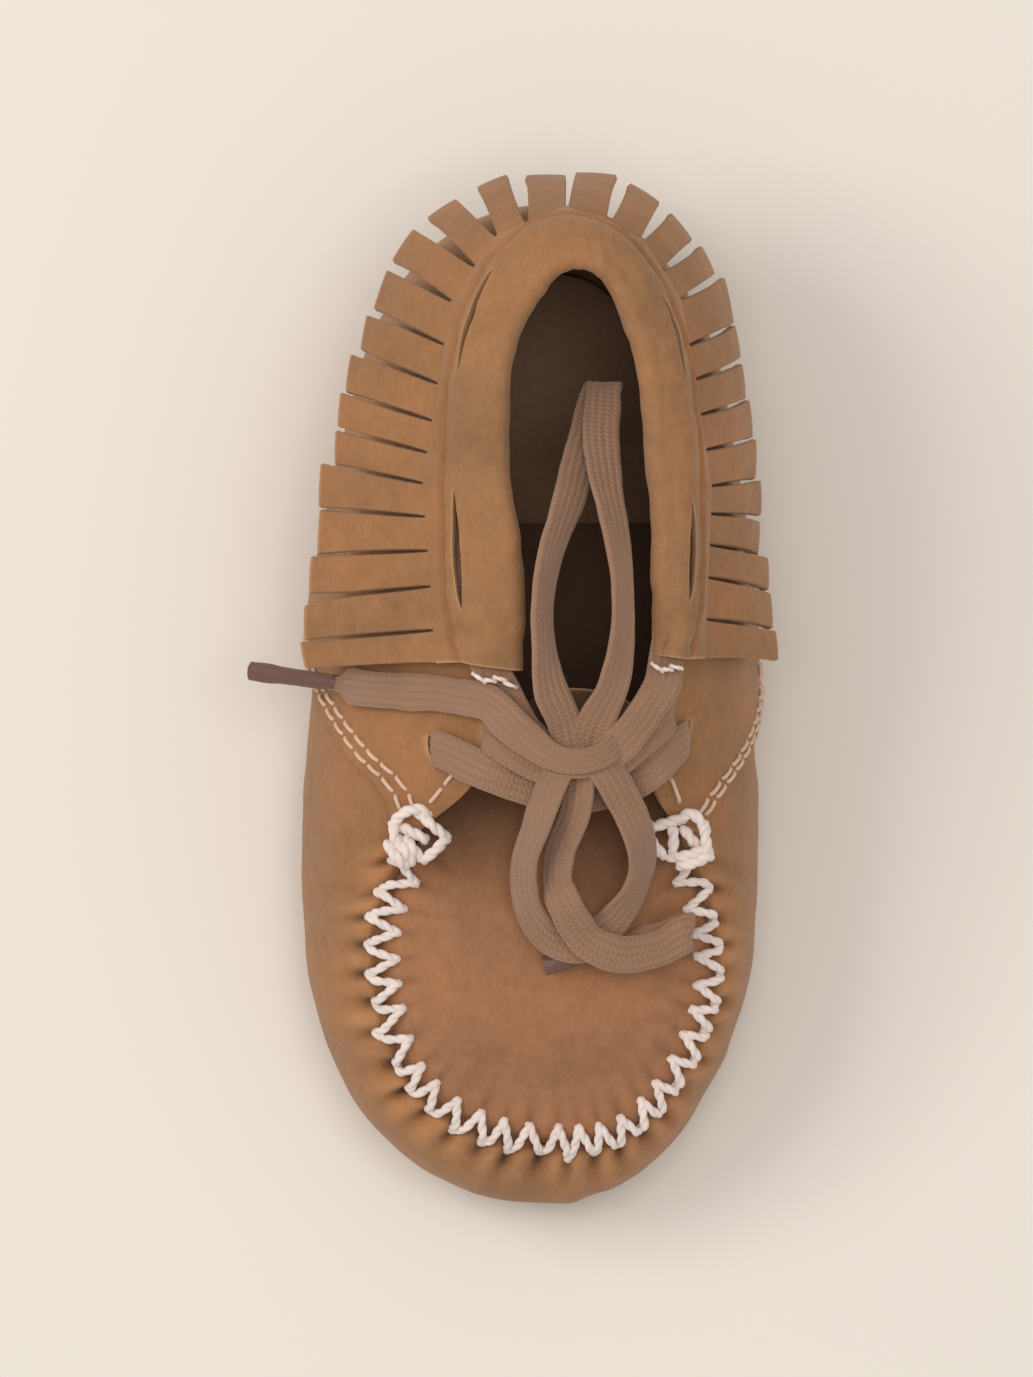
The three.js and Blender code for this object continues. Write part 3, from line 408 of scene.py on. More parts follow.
def wall_point(at, rise):
    """A point of the shoe's wall: rise goes from 0 on the ground to 1 at the upper edge."""
    at, rise = np.broadcast_arrays(np.asarray(at, float), np.asarray(rise, float))
    wide, edge = wide_line(at), edge_line(at)
    low_turn = np.clip(rise / WIDEST_SHARE, 0, 1) * np.pi / 2
    low = mix(ground_line(at), wide, np.sin(low_turn))
    low[..., 2] = WIDEST_HEIGHT * (1 - np.cos(low_turn))
    whole = np.radians(WALL_SWEEP - HEEL_SWEEP_LESS * smooth(np.abs(at - TOE) / 5, 1.4, 2))
    turn = np.clip((rise - WIDEST_SHARE) / (1 - WIDEST_SHARE), 0, None) * whole
    high = mix(wide, edge, (1 - np.cos(turn)) / (1 - np.cos(whole)))
    high[..., 2] = WIDEST_HEIGHT + (edge[..., 2] - WIDEST_HEIGHT) * np.sin(turn) / np.sin(whole)
    return np.where((rise < WIDEST_SHARE)[..., None], low, high)


def wall_normal(at, rise):
    ahead = wall_point(at + 0.03, rise) - wall_point(at - 0.03, rise)
    up = wall_point(at, np.minimum(rise + 0.01, 1)) - wall_point(at, np.maximum(rise - 0.01, 0))
    return unit(np.cross(ahead, up))


def quarter_bottom(at):
    """Rise of the quarters' lower edge."""
    at = np.asarray(at, float)
    outer = OUTER_CLIMB * (at - OUTER_CLIMB_FROM)
    inner = INNER_CLIMB * (COUNT - at - INNER_CLIMB_FROM)
    return QUARTER_LOW + np.maximum(np.where(at < COUNT / 2, outer, inner), 0)


def upper_girth(at):
    """Length of the wall from its widest line to its upper edge, roughly, along the leather."""
    return np.linalg.norm(edge_line(at) - wide_line(at), axis=-1) * LEATHER_SLACK


def down_from_edge(at, rise):
    """How far a place lies below the upper edge, along the leather."""
    return (1 - rise) / (1 - WIDEST_SHARE) * upper_girth(at)


# The gathers of the toe seam.

ZIGZAG_COUNT = 27
SEAM_FROM, SEAM_TO = OUTER_TACK + 0.35, INNER_TACK - 0.35
STITCH_REACH = 2.2  # from the seam to a stitch's hole, on each side
# Each pull has a depth, then how far from the seam it is deepest and how far it spreads.
GATHER_DEPTH, GATHER_DOWN, GATHER_SPREAD = 1.5, 1.8, 2.8
PLEAT_DEPTH, PLEAT_DOWN, PLEAT_SPREAD = 0.8, 4.5, 8.5
EDGE_DIP, PLUG_EDGE_DIP, DIP_SPREAD = 0.95, 0.8, 0.75
PLUG_GATHER_DEPTH, PLUG_GATHER_SPREAD = 0.22, 2.2
WALL_WAVE, PLUG_WAVE = 0.18, 0.3


def seam_phase(at):
    """Stitch number at a station: whole numbers are the holes in the wrap."""
    return (np.asarray(at, float) - SEAM_FROM) / (SEAM_TO - SEAM_FROM) * ZIGZAG_COUNT


def unevenness(phase):
    """How far the stitches stray along the seam, in stitches."""
    return 0.1 * wave(phase, 5, 2.3)


def hole_station(number):
    """Station of a stitch's hole: whole numbers lie in the wrap, halves in the plug."""
    return SEAM_FROM + (SEAM_TO - SEAM_FROM) * (number - unevenness(number)) / ZIGZAG_COUNT


def seam_share(at):
    """1 along the gathered seam, fading to 0 past its two ends."""
    starts = smooth(at, OUTER_TACK - 0.3, OUTER_TACK + 0.5)
    return starts * (1 - smooth(at, INNER_TACK - 0.5, INNER_TACK + 0.3))


def wrap_gather(at, down):
    """How far the gathers push the wrap out, at a distance down from the seam."""
    phase = seam_phase(at)
    size = (1 + 0.45 * wave(phase, 3, 3.1)) * (0.7 + 0.5 * smooth(np.abs(at - TOE), 4, 1.5))
    valley = (0.5 + 0.5 * np.cos(2 * np.pi * (phase + unevenness(phase)))) ** 1.8
    pull = -GATHER_DEPTH * size * valley * bell(down, GATHER_SPREAD, GATHER_DOWN)
    long_size = 0.5 + 0.5 * wave(phase, 8, 4.7)
    pleat = np.cos(np.pi * phase + 1.3 * wave(phase, 9, 3.7))
    long_pull = PLEAT_DEPTH * long_size * pleat * bell(down, PLEAT_SPREAD, PLEAT_DOWN)
    return seam_share(at) * (pull + long_pull + -EDGE_DIP * bell(down, DIP_SPREAD))


def wall_face(at, rise):
    """The wrap's outside, gathers included."""
    ripple = WALL_WAVE * wave(at, 2, 2.9) * np.sin(np.pi * np.clip(rise, 0, 1))
    lift = wrap_gather(at, down_from_edge(at, rise)) + ripple
    return wall_point(at, rise) + wall_normal(at, rise) * lift[..., None]


PLUG_OUTLINE = np.vstack([STATIONS[OUTER_TACK:INNER_TACK + 1, 2:], PLUG_TAIL])


def plug_edge(at):
    """The plug's outline; at runs on from 0 at the outer tack, a station for each point."""
    edge = catmull(PLUG_OUTLINE, at, True)
    level = unit((edge - PLUG_MIDDLE) * (1, 1, 0))
    flap = sum(bell(at, CORNER_WIDTH, corner) for corner in PLUG_CORNERS)
    return edge - level * (PLUG_INSET - CORNER_FLAP * flap)[..., None]


def plug_span(at):
    """From the plug's middle to its outline."""
    return np.linalg.norm(plug_edge(at) - PLUG_MIDDLE, axis=-1)


def plug_plain(at, reach):
    """A point of the plug's plain dome: reach goes from 0 in the middle to 1 at the edge."""
    at, reach = np.broadcast_arrays(np.asarray(at, float), np.asarray(reach, float))
    edge = plug_edge(at)
    p = mix(PLUG_MIDDLE, edge, reach)
    p[..., 2] = PLUG_MIDDLE[2] + (edge[..., 2] - PLUG_MIDDLE[2]) * reach**1.8
    return p


def throat_share(points):
    """0 on the open plug, rising to 1 where it goes under the throat."""
    return smooth(points[..., 1], *THROAT_EDGE)


def plug_face(at, reach):
    """The plug's outside, with its dip to the seam and the stitches' pull."""
    p = plug_plain(at, reach)
    inwards = (1 - reach) * plug_span(at)
    valley = 0.5 - 0.5 * np.cos(2 * np.pi * seam_phase(at + OUTER_TACK))
    pull = (-PLUG_GATHER_DEPTH * valley * bell(inwards, PLUG_GATHER_SPREAD)
            - PLUG_EDGE_DIP * bell(inwards, DIP_SPREAD))
    dent = PLUG_WAVE * wave(p[..., 0], 4, 19) + PLUG_WAVE * wave(p[..., 1], 6, 23)
    p[..., 2] += (seam_share(at + OUTER_TACK) * pull + dent * smooth(inwards, 0, 6)
                  - THROAT_DIP * throat_share(p) * smooth(inwards, 0, 3))
    return p


# The collar and the fringe.

def collar_frame(at):
    """The collar's lower edge, the ways inwards and up from it, and its width to the mouth."""
    ridge, mouth = catmull(RIDGE, at), catmull(MOUTH, at)
    inwards = unit(mouth - ridge)
    width = np.linalg.norm(mouth - ridge, axis=-1)
    tangent = unit(catmull(RIDGE, at + 0.01) - catmull(RIDGE, at - 0.01))
    up = unit(np.cross(inwards, tangent))
    up = np.where((up[..., 2] < 0)[..., None], -up, up)
    return ridge, inwards, up, width


def collar_point(at, inward, above):
    ridge, inwards, up, _ = collar_frame(at)
    return ridge + inwards * np.asarray(inward)[..., None] + up * np.asarray(above)[..., None]


def fall(at):
    """The way that the fringe hangs."""
    return unit(catmull(TIP, at) - catmull(RIDGE, at))


def hinge_corner(at):
    return catmull(RIDGE, at) + fall(at) * HINGE_DROP


BOUNDS = np.array([cuts[0] for cuts in FRINGE_CUTS.values()] + [COLLAR_SPAN], float)


def hinge_point(at):
    """The strands bend on a chain of straight lines, one for each group."""
    at = np.asarray(at, float)
    group = np.clip(np.searchsorted(BOUNDS, at, side="right") - 1, 0, len(BOUNDS) - 2)
    low, high = BOUNDS[group], BOUNDS[group + 1]
    return mix(hinge_corner(low), hinge_corner(high), (at - low) / (high - low))


def fringe_normal(at, down):
    """Square to the fringe's face, outwards."""
    ahead = unit(catmull(TIP, at + 0.01) - catmull(TIP, at - 0.01))
    normal = unit(np.cross(down, ahead))
    return np.where((normal[..., 2] < 0)[..., None], -normal, normal)


# Meshes.

def metres(points):
    return (np.asarray(points, float) + CENTRING) * MM


def mesh_object(name, points, faces, **shares):
    """A smooth-shaded mesh in the frame; shares are values kept on its points, for the materials to read."""
    data = bpy.data.meshes.new(name)
    data.from_pydata(metres(points).tolist(), [], [tuple(int(i) for i in f) for f in faces])
    for share, values in shares.items():
        if share == "span":
            layer = data.uv_layers.new(name="span")
            corners = np.empty(len(data.loops), int)
            data.loops.foreach_get("vertex_index", corners)
            layer.data.foreach_set("uv", np.asarray(values, np.float32)[corners].ravel())
        else:
            layer = data.attributes.new(share, "FLOAT", "POINT")
            layer.data.foreach_set("value", np.asarray(values, np.float32))
    work = bmesh.new()
    work.from_mesh(data)
    bmesh.ops.remove_doubles(work, verts=work.verts, dist=1e-6)
    bmesh.ops.recalc_face_normals(work, faces=work.faces)
    work.to_mesh(data)
    work.free()
    data.polygons.foreach_set("use_smooth", [True] * len(data.polygons))
    data.set_sharp_from_angle(angle=math.radians(50))
    made = bpy.data.objects.new(name, data)
    bpy.context.scene.collection.objects.link(made)
    return made


def stepped(*runs):
    """Shares from 0 to 1 in runs, each given by where it starts and by the number of its places."""
    starts = [start for start, _ in runs] + [1]
    places = [np.linspace(low, high, count) for low, high, (_, count) in zip(starts, starts[1:], runs)]
    return np.concatenate(places[:1] + [place[1:] for place in places[1:]])


def slotted_rows(along, rows, slots):
    """A grid of shares across the sheet, with a pair of rows parted at the slots, and the slots' cells.
    A slot is (from, to, middle, half width), its ends given along the sheet. Slots that share a middle share
    their rows."""
    grid = np.repeat(np.asarray(rows, float)[None], len(along), axis=0)
    openings = []
    for middle in sorted({slot[2] for slot in slots}):
        parted, cells, widest = np.zeros(len(along)), np.zeros(len(along) - 1, bool), 0.0
        for start, end, _, half in (slot for slot in slots if slot[2] == middle):
            t = np.clip((along - start) / (end - start), 0, 1)
            parted = np.maximum(parted, half * np.maximum(np.sin(np.pi * t), 0) ** 0.75)
            cells |= (along[:-1] >= start) & (along[1:] <= end)
            widest = max(widest, half)
        spread = np.maximum(parted, widest * 0.05)[:, None]
        aside = grid + np.sign(grid - middle) * spread * 0.8
        grid = np.where(np.abs(grid - middle) < widest * 2.2, aside, grid)
        row = int(np.searchsorted(grid[0], middle))
        grid = np.concatenate([grid[:, :row], middle - spread, middle + spread, grid[:, row:]], axis=1)
        openings.append((row, cells))
    return grid, openings


def leather(name, place, along, rows, slots=(), closed=False, pole=False, soft=0.012, shade=None):
    """A sheet of leather with its face, its back and its cut edges. place(along, across, through) gives a
    point: through is 1 on the face and 0 on the back. closed joins the two ends, and pole closes the first
    row in a point."""
    along = np.asarray(along, float)
    rows = np.asarray(rows, float) * (1 - soft) if pole else soft + np.asarray(rows, float) * (1 - 2 * soft)
    across, openings = slotted_rows(along, rows, slots)
    columns, count = across.shape
    spread = np.repeat(along[:, None], count, axis=1)
    ends = along[:, None]
    half = np.full_like(ends, 0.5)
    layers = [place(spread, across, np.ones_like(across)), place(ends, np.ones_like(ends), half),
              place(spread, across, np.zeros_like(across))[:, ::-1]]
    cut = [np.zeros((columns, count)), np.ones((columns, 1)), np.zeros((columns, count))]
    back = [np.zeros((columns, count)), np.full((columns, 1), 0.5), np.ones((columns, count))]
    if not pole:
        layers.append(place(ends, np.zeros_like(ends), half))
        cut.append(np.ones((columns, 1)))
        back.append(np.full((columns, 1), 0.5))
    grid = np.concatenate(layers, axis=1)
    cut, back = np.concatenate(cut, axis=1), np.concatenate(back, axis=1)
    ring = grid.shape[1]
    index = np.arange(columns * ring).reshape(columns, ring)
    open_cell = np.zeros((columns, ring), bool)
    faces = []

    def rim(i, row):
        """The piece of a cut's end between two neighbouring rows of the face and those of the back."""
        return index[i, row], index[i, row + 1], index[i, 2 * count - row - 1], index[i, 2 * count - row]

    for row, cells in openings:
        inside = np.flatnonzero(cells)
        open_cell[inside, row] = True
        open_cell[inside, 2 * count - row - 1] = True
        cut[np.union1d(inside, inside + 1), row:row + 2] = 1
        for front in (row, row + 1):
            back_row = 2 * count - front
            faces += [(index[i, front], index[i + 1, front], index[i + 1, back_row], index[i, back_row])
                      for i in inside]
        starts, stops = inside[~np.isin(inside - 1, inside)], inside[~np.isin(inside + 1, inside)] + 1
        faces += [rim(i, row) for i in np.concatenate([starts, stops])]
    last = columns if closed else columns - 1
    for i in range(last):
        j = (i + 1) % columns
        for k in range(ring if not pole else ring - 1):
            if not open_cell[i, k]:
                m = (k + 1) % ring
                faces.append((index[i, k], index[j, k], index[j, m], index[i, m]))
    if not closed:
        for i in (0, columns - 1):
            faces += [rim(i, k) for k in range(count - 1)]
            faces.append((index[i, count - 1], index[i, count], index[i, count + 1]))
            if not pole:
                faces.append((index[i, 0], index[i, 2 * count], index[i, ring - 1]))
            cut[i, :] = 1
    shares = {"cut": cut.ravel(), "back": back.ravel()}
    if shade is not None:
        dark = np.zeros_like(cut)
        dark[:, :count] = shade(spread, across)
        shares["shade"] = dark.ravel()
    return mesh_object(name, grid.reshape(-1, 3), faces, **shares)


FINE_STEPS = 40  # points for each stop, to measure a smooth line by
PLY_OFFSET, PLY_RADIUS, PLY_STEP = 0.31, 0.71, 0.22
RIBBON_STEP = 0.45
# A tapered ribbon's narrowest share, and how far from its end the taper ends and starts.
RIBBON_TAPER, TAPER_END, TAPER_START = 0.4, 1.7, 4.2
RIB_HOLLOW = 0.76  # thickness between two ribs, as a share of the whole


class Bundle:
    """Points and faces of many small shapes that make one mesh."""

    def __init__(self):
        self.points, self.faces, self.count = [], [], 0

    def add(self, points, faces):
        self.points.append(np.asarray(points, float).reshape(-1, 3))
        self.faces += [tuple(int(i) + self.count for i in face) for face in faces]
        self.count += len(self.points[-1])

    def mesh(self, name):
        return mesh_object(name, np.vstack(self.points), self.faces)


def frames(path):
    """Directions along and across a path that turn with it and don't spin."""
    ahead = unit(np.gradient(path, axis=0))
    side = np.empty_like(path)
    start = np.cross(ahead[0], (0, 0, 1.0))
    side[0] = start / np.linalg.norm(start) if np.linalg.norm(start) > 0.1 else (1.0, 0, 0)
    for i in range(1, len(path)):
        side[i] = side[i - 1] - ahead[i] * (side[i - 1] @ ahead[i])
        side[i] /= np.linalg.norm(side[i])
    return ahead, side, np.cross(ahead, side)


def rings(rows, sides):
    """The numbers of the points of a row of closed rings, and the faces between them."""
    index = np.arange(rows * sides).reshape(rows, sides)
    after = np.roll(index, -1, axis=1)
    return index, np.stack([index[:-1], after[:-1], after[1:], index[1:]], axis=-1).reshape(-1, 4).tolist()


def capped(rows, sides):
    """The faces of a tube of rings with its two ends closed."""
    index, faces = rings(rows, sides)
    return faces + [tuple(index[0][::-1]), tuple(index[-1])]


def tube(bundle, path, radius, sides=8):
    """A round tube along a path with closed ends; radius may vary along it."""
    _, side, other = frames(path)
    radius = np.broadcast_to(radius, len(path))[:, None, None]
    turn = np.arange(sides) / sides * 2 * np.pi
    ring = np.cos(turn)[None, :, None] * side[:, None] + np.sin(turn)[None, :, None] * other[:, None]
    bundle.add(path[:, None] + ring * radius, capped(len(path), sides))


def smooth_path(stops, gap):
    """Evenly spaced points, about gap apart, on the smooth line through stops."""
    stops = np.asarray(stops, float)
    fine = catmull(stops, np.linspace(0, len(stops) - 1, FINE_STEPS * len(stops)))
    run = run_along(fine)
    steps = max(int(run[-1] / gap), 4)
    wanted = np.linspace(0, run[-1], steps + 1)
    return np.stack([np.interp(wanted, run, fine[:, k]) for k in range(3)], axis=1)


def yarn(bundle, stops, radius, pitch=3.0, turn=0.0):
    """Two twisted plies laid through stops; radius is the whole yarn's."""
    path = smooth_path(stops, PLY_STEP)
    _, side, other = frames(path)
    run = np.arange(len(path)) * np.linalg.norm(path[1] - path[0])
    taper = np.minimum(np.minimum(run, run[::-1]) / (radius * 1.3) + 0.45, 1)
    for ply in (0, np.pi):
        angle = (run / pitch * 2 * np.pi + ply + turn)[:, None]
        offset = (np.cos(angle) * side + np.sin(angle) * other) * radius * PLY_OFFSET * taper[:, None]
        tube(bundle, path + offset, radius * PLY_RADIUS * taper, sides=9)


def ribbon(name, stops, width, thickness, ribs, pinch=None, tapered=False):
    """A flat ribbed lace through stops, each a place and a facing direction. Returns it and its centreline.
    pinch is a narrower width that it starts with, and the length over which that lasts. tapered draws its end
    in."""
    stops = np.array(stops, float)
    places, facings = stops[:, :3], stops[:, 3:]
    fine = np.linspace(0, len(stops) - 1, FINE_STEPS * len(stops))
    run = run_along(catmull(places, fine))
    along = np.interp(np.linspace(0, run[-1], int(run[-1] / RIBBON_STEP) + 1), run, fine)
    path, facing = catmull(places, along), catmull(facings, along)
    length = np.linspace(0, run[-1], len(along))
    ahead = unit(np.gradient(path, axis=0))
    side = unit(np.cross(ahead, facing))
    up = unit(np.cross(side, ahead))
    path = path + side * (0.12 * wave(length, len(stops), 13))[:, None]
    half = 0.5 * width * (1 + 0.05 * wave(length, 4 + len(stops), 9))
    if tapered:
        kept = smooth(length, run[-1] - TAPER_END, run[-1] - TAPER_START)
        half = half * (RIBBON_TAPER + (1 - RIBBON_TAPER) * kept)
    if pinch:
        half = half * (1 - (1 - pinch[0] / width) * (1 - smooth(length, pinch[1] * 0.7, pinch[1] * 1.3)))
    count = 6 * ribs + 1
    v = np.linspace(-1, 1, count)
    body = 1 - 0.55 * np.abs(v) ** 10
    rib = RIB_HOLLOW + (1 - RIB_HOLLOW) * np.abs(np.sin(np.pi * ribs * (v + 1) / 2)) ** 0.7
    height = 0.5 * thickness * rib * body
    bow = 0.1 * (1 - v**2)
    spots = [(v[k], height[k] + bow[k]) for k in range(count)]
    spots += [(v[k], -height[k] + bow[k]) for k in reversed(range(count))]
    spots = np.array(spots)
    points = (path[:, None] + side[:, None] * (spots[None, :, :1] * half[:, None, None])
              + up[:, None] * spots[None, :, 1:])
    ring = len(spots)
    index, faces = rings(len(path), ring)
    for i in (0, len(path) - 1):
        faces += [(index[i, k], index[i, k + 1], index[i, ring - 2 - k], index[i, ring - 1 - k])
                  for k in range(count - 1)]
    span = np.stack(np.broadcast_arrays(length[:, None], spots[None, :, 0] * width / 2), axis=-1)
    return mesh_object(name, points.reshape(-1, 3), faces, span=span.reshape(-1, 2)), path


# Finishes.

def srgb(*levels):
    """A colour from its 0 to 255 screen levels, as the renderer's linear numbers."""
    shares = [level / 255 for level in levels]
    return tuple(s / 12.92 if s <= 0.04045 else ((s + 0.055) / 1.055) ** 2.4 for s in shares)


class Value:
    """One output of a node, so that sums on it read as sums."""

    def __init__(self, finish, socket):
        self.finish, self.socket = finish, socket

    def math(self, operation, *terms):
        return self.finish.node("ShaderNodeMath", {"operation": operation}, dict(enumerate(terms)))

    def __add__(self, other):
        return self.math("ADD", self, other)

    def __sub__(self, other):
        return self.math("SUBTRACT", self, other)

    def __rsub__(self, other):
        return self.math("SUBTRACT", other, self)

    def __mul__(self, other):
        return self.math("MULTIPLY", self, other)

    __radd__, __rmul__ = __add__, __mul__

    def sine(self):
        return self.math("SINE", self)

    def size(self):
        return self.math("ABSOLUTE", self)

    def above(self, low, high):
        """0 below low, 1 above high, smooth between."""
        sockets = {"Value": self, "From Min": low, "From Max": high}
        return self.finish.node("ShaderNodeMapRange", {"interpolation_type": "SMOOTHSTEP"}, sockets)


class Finish:
    """A material under construction."""

    def __init__(self, name):
        self.material = bpy.data.materials.new(name)
        self.material.use_nodes = True
        self.tree = self.material.node_tree
        self.tree.nodes.clear()

    def node(self, kind, settings=None, sockets=None, output=0):
        made = self.tree.nodes.new(kind)
        for key, value in (settings or {}).items():
            setattr(made, key, value)
        for key, value in (sockets or {}).items():
            if isinstance(value, Value):
                self.tree.links.new(value.socket, made.inputs[key])
            elif made.inputs[key].type == "RGBA" and len(value) == 3:
                made.inputs[key].default_value = (*value, 1)
            else:
                made.inputs[key].default_value = value
        return Value(self, made.outputs[output])

    def place(self):
        """The object's own coordinates, in millimetres."""
        spot = self.node("ShaderNodeTexCoord", output="Object")
        return self.stretch(spot, (1 / MM,) * 3)

    def stretch(self, spot, factors):
        return self.node("ShaderNodeVectorMath", {"operation": "MULTIPLY"}, {0: spot, 1: factors})

    def noise(self, spot, size, detail=2.0, roughness=0.5):
        sockets = {"Vector": spot, "Scale": 1 / size, "Detail": detail, "Roughness": roughness}
        return self.node("ShaderNodeTexNoise", None, sockets)

    def share(self, name):
        return self.node("ShaderNodeAttribute", {"attribute_name": name}, output="Fac")

    def span(self):
        """A lace's own coordinates in millimetres, then the part along it and the part across it."""
        spot = self.node("ShaderNodeUVMap", {"uv_map": "span"})
        return spot, *(self.node("ShaderNodeSeparateXYZ", None, {0: spot}, output=k) for k in (0, 1))

    def mix(self, factor, a, b):
        return self.node("ShaderNodeMix", {"data_type": "RGBA"}, {0: factor, 6: a, 7: b}, 2)

    def scaled(self, colour, factor):
        return self.node("ShaderNodeVectorMath", {"operation": "SCALE"}, {0: colour, "Scale": factor})

    def bump(self, height, depth, normal=None):
        """depth is in millimetres for a height of 1."""
        sockets = {"Height": height, "Distance": depth * MM, "Strength": 1.0}
        if normal is not None:
            sockets["Normal"] = normal
        return self.node("ShaderNodeBump", None, sockets)

    def surface(self, colour, roughness, normal=None, **constants):
        sockets = {"Base Color": colour, "Roughness": roughness}
        if normal is not None:
            sockets["Normal"] = normal
        sockets.update({key.replace("_", " "): value for key, value in constants.items()})
        shader = self.node("ShaderNodeBsdfPrincipled", None, sockets)
        target = self.tree.nodes.new("ShaderNodeOutputMaterial")
        self.tree.links.new(shader.socket, target.inputs["Surface"])
        return self.material


WARMTH = (1.04, 0.97, 0.93)
THREAD_PITCH = 0.62  # from one slanted thread of the weave to the next


def suede(name, colour, raw, lining=None):
    """Napped suede: soft blotches, brushed nap, fine fibres, paler raw edges and, if given, a lined back."""
    finish = Finish(name)
    spot = finish.place()
    blotch = finish.noise(spot, 11, 3)
    patch = finish.noise(spot, 2.6, 3, 0.6)
    nap = finish.noise(finish.stretch(spot, (1.0, 0.35, 1.0)), 0.62, 4, 0.7)
    fibre = finish.noise(spot, 0.26, 3, 0.75)
    level = 0.29 + blotch * 0.48 + patch * 0.37 + nap * 0.4 + fibre * 0.18
    warm = tuple(c * k for c, k in zip(colour, WARMTH))
    tone = finish.mix(blotch.above(0.38, 0.68), colour, warm)
    tone = finish.scaled(tone, level)
    cut = finish.share("cut") * (0.45 + fibre * 0.7)
    tone = finish.mix(cut, tone, raw)
    # Painted shade from the shade share: creases, the toe seam's edge and the throat's shadow; below 0 it is painted
    # highlight on the folds.
    tone = finish.scaled(tone, 1 - finish.share("shade") * 0.55)
    if lining is not None:
        tone = finish.mix(finish.share("back").above(0.5, 0.8), tone, lining)
    relief = finish.bump(patch, 0.16)
    relief = finish.bump(nap + fibre * 0.6, 0.09, relief)
    return finish.surface(
        tone, 0.86 + nap * 0.12, relief, Specular_IOR_Level=0.18, Sheen_Weight=0.22, Sheen_Roughness=0.45,
        Sheen_Tint=(1.0, 0.88, 0.76, 1.0))


def woven_lace(name, colour, ribs, width):
    """Flat woven lace: long ribs, each a run of small slanted threads that change side from rib to rib. Painted shade
    lies between the ribs and between the threads.
    """
    finish = Finish(name)
    spot, along, across = finish.span()
    rib = (across * (ribs / width) * np.pi).sine()
    slant = along + rib.size() * 0.35
    weft = (slant * (2 * np.pi / THREAD_PITCH)).sine()
    place = finish.place()
    fuzz = finish.noise(place, 0.3, 4, 0.7)
    wear = finish.noise(place, 6, 2)
    streak = finish.noise(finish.stretch(spot, (0.12, 1.5, 1)), 1.1, 3, 0.6)
    # Painted shade: darker between the ribs and between the slanted threads of the weave.
    level = 0.53 + rib.size() * 0.12 + weft * 0.035 + fuzz * 0.3 + wear * 0.26 + streak * 0.34
    tone = finish.scaled(colour, level)
    relief = finish.bump(weft * 0.5 + 0.5, 0.07)
    relief = finish.bump(fuzz, 0.07, relief)
    return finish.surface(
        tone, 0.84 + fuzz * 0.12, relief, Specular_IOR_Level=0.2, Sheen_Weight=0.3, Sheen_Roughness=0.5,
        Sheen_Tint=(1.0, 0.92, 0.86, 1.0))


def spun_thread(name, colour, gloss):
    """Spun thread with fine fibres and a soft shine."""
    finish = Finish(name)
    spot = finish.place()
    fibre = finish.noise(finish.stretch(spot, (2.2, 0.8, 1.2)), 0.32, 4, 0.7)
    grime = finish.noise(spot, 2.2, 3)
    tone = finish.scaled(colour, 0.66 + fibre * 0.3 + grime * 0.36)
    return finish.surface(
        tone, 1 - gloss + fibre * 0.15, finish.bump(fibre, 0.08), Specular_IOR_Level=0.4, Sheen_Weight=0.25,
        Sheen_Roughness=0.4)


def lace_tip(name, colour):
    """The wrapped film of a lace tip: satin, with faint lengthwise scratches."""
    finish = Finish(name)
    spot = finish.place()
    streak = finish.noise(finish.stretch(spot, (0.3, 2.4, 2.4)), 0.7, 3)
    tone = finish.scaled(colour, 0.7 + streak * 0.62)
    return finish.surface(tone, 0.32 + streak * 0.25, finish.bump(streak, 0.05), Specular_IOR_Level=0.5)


def dark_lining(name, colour, size, depth):
    """Lining under the foot: a fine even texture with worn, paler places."""
    finish = Finish(name)
    spot = finish.place()
    grain = finish.noise(spot, size, 4, 0.7)
    wear = finish.noise(spot, 14, 3)
    tone = finish.scaled(colour, 0.5 + grain * 0.45 + wear * 0.6)
    return finish.surface(tone, 0.8 + grain * 0.15, finish.bump(grain, depth), Specular_IOR_Level=0.25)


def paper_floor(name, colour):
    """A matte pale sheet with a very faint unevenness."""
    finish = Finish(name)
    cloud = finish.noise(finish.place(), 160, 2)
    tone = finish.scaled(colour, 0.97 + cloud * 0.06)
    return finish.surface(tone, 0.9 + cloud * 0.05, Specular_IOR_Level=0.15)


# What a user would change.

def a_colour(name, description, *levels):
    return bpy.props.FloatVectorProperty(
        name=name, description=description, subtype="COLOR", size=3, min=0, max=1, default=srgb(*levels))


def a_length(name, description, millimetres):
    return bpy.props.FloatProperty(
        name=name, description=description, subtype="DISTANCE", unit="LENGTH", min=0,
        default=millimetres * MM)


class MoccasinSizes(bpy.types.PropertyGroup):
    lace_width: a_length("Lace width", "Width of the flat lace", 4.4)
    lace_thickness: a_length("Lace thickness", "Thickness of the flat lace", 0.9)
    lace_ribs: bpy.props.IntProperty(
        name="Lace ribs", description="Ribs along the lace", default=5, min=2, max=9)
    toe_thread: a_length("Toe thread", "Radius of the heavy thread of the toe seam", 0.56)
    seam_thread: a_length("Topstitch thread", "Radius of the thread of the side seams", 0.25)
    stitch_pitch: a_length("Topstitch pitch", "Distance from one topstitch to the next", 2.7)
    fringe_gap: a_length("Fringe gap", "Gap between two strands, at the middle of their length", 0.34)


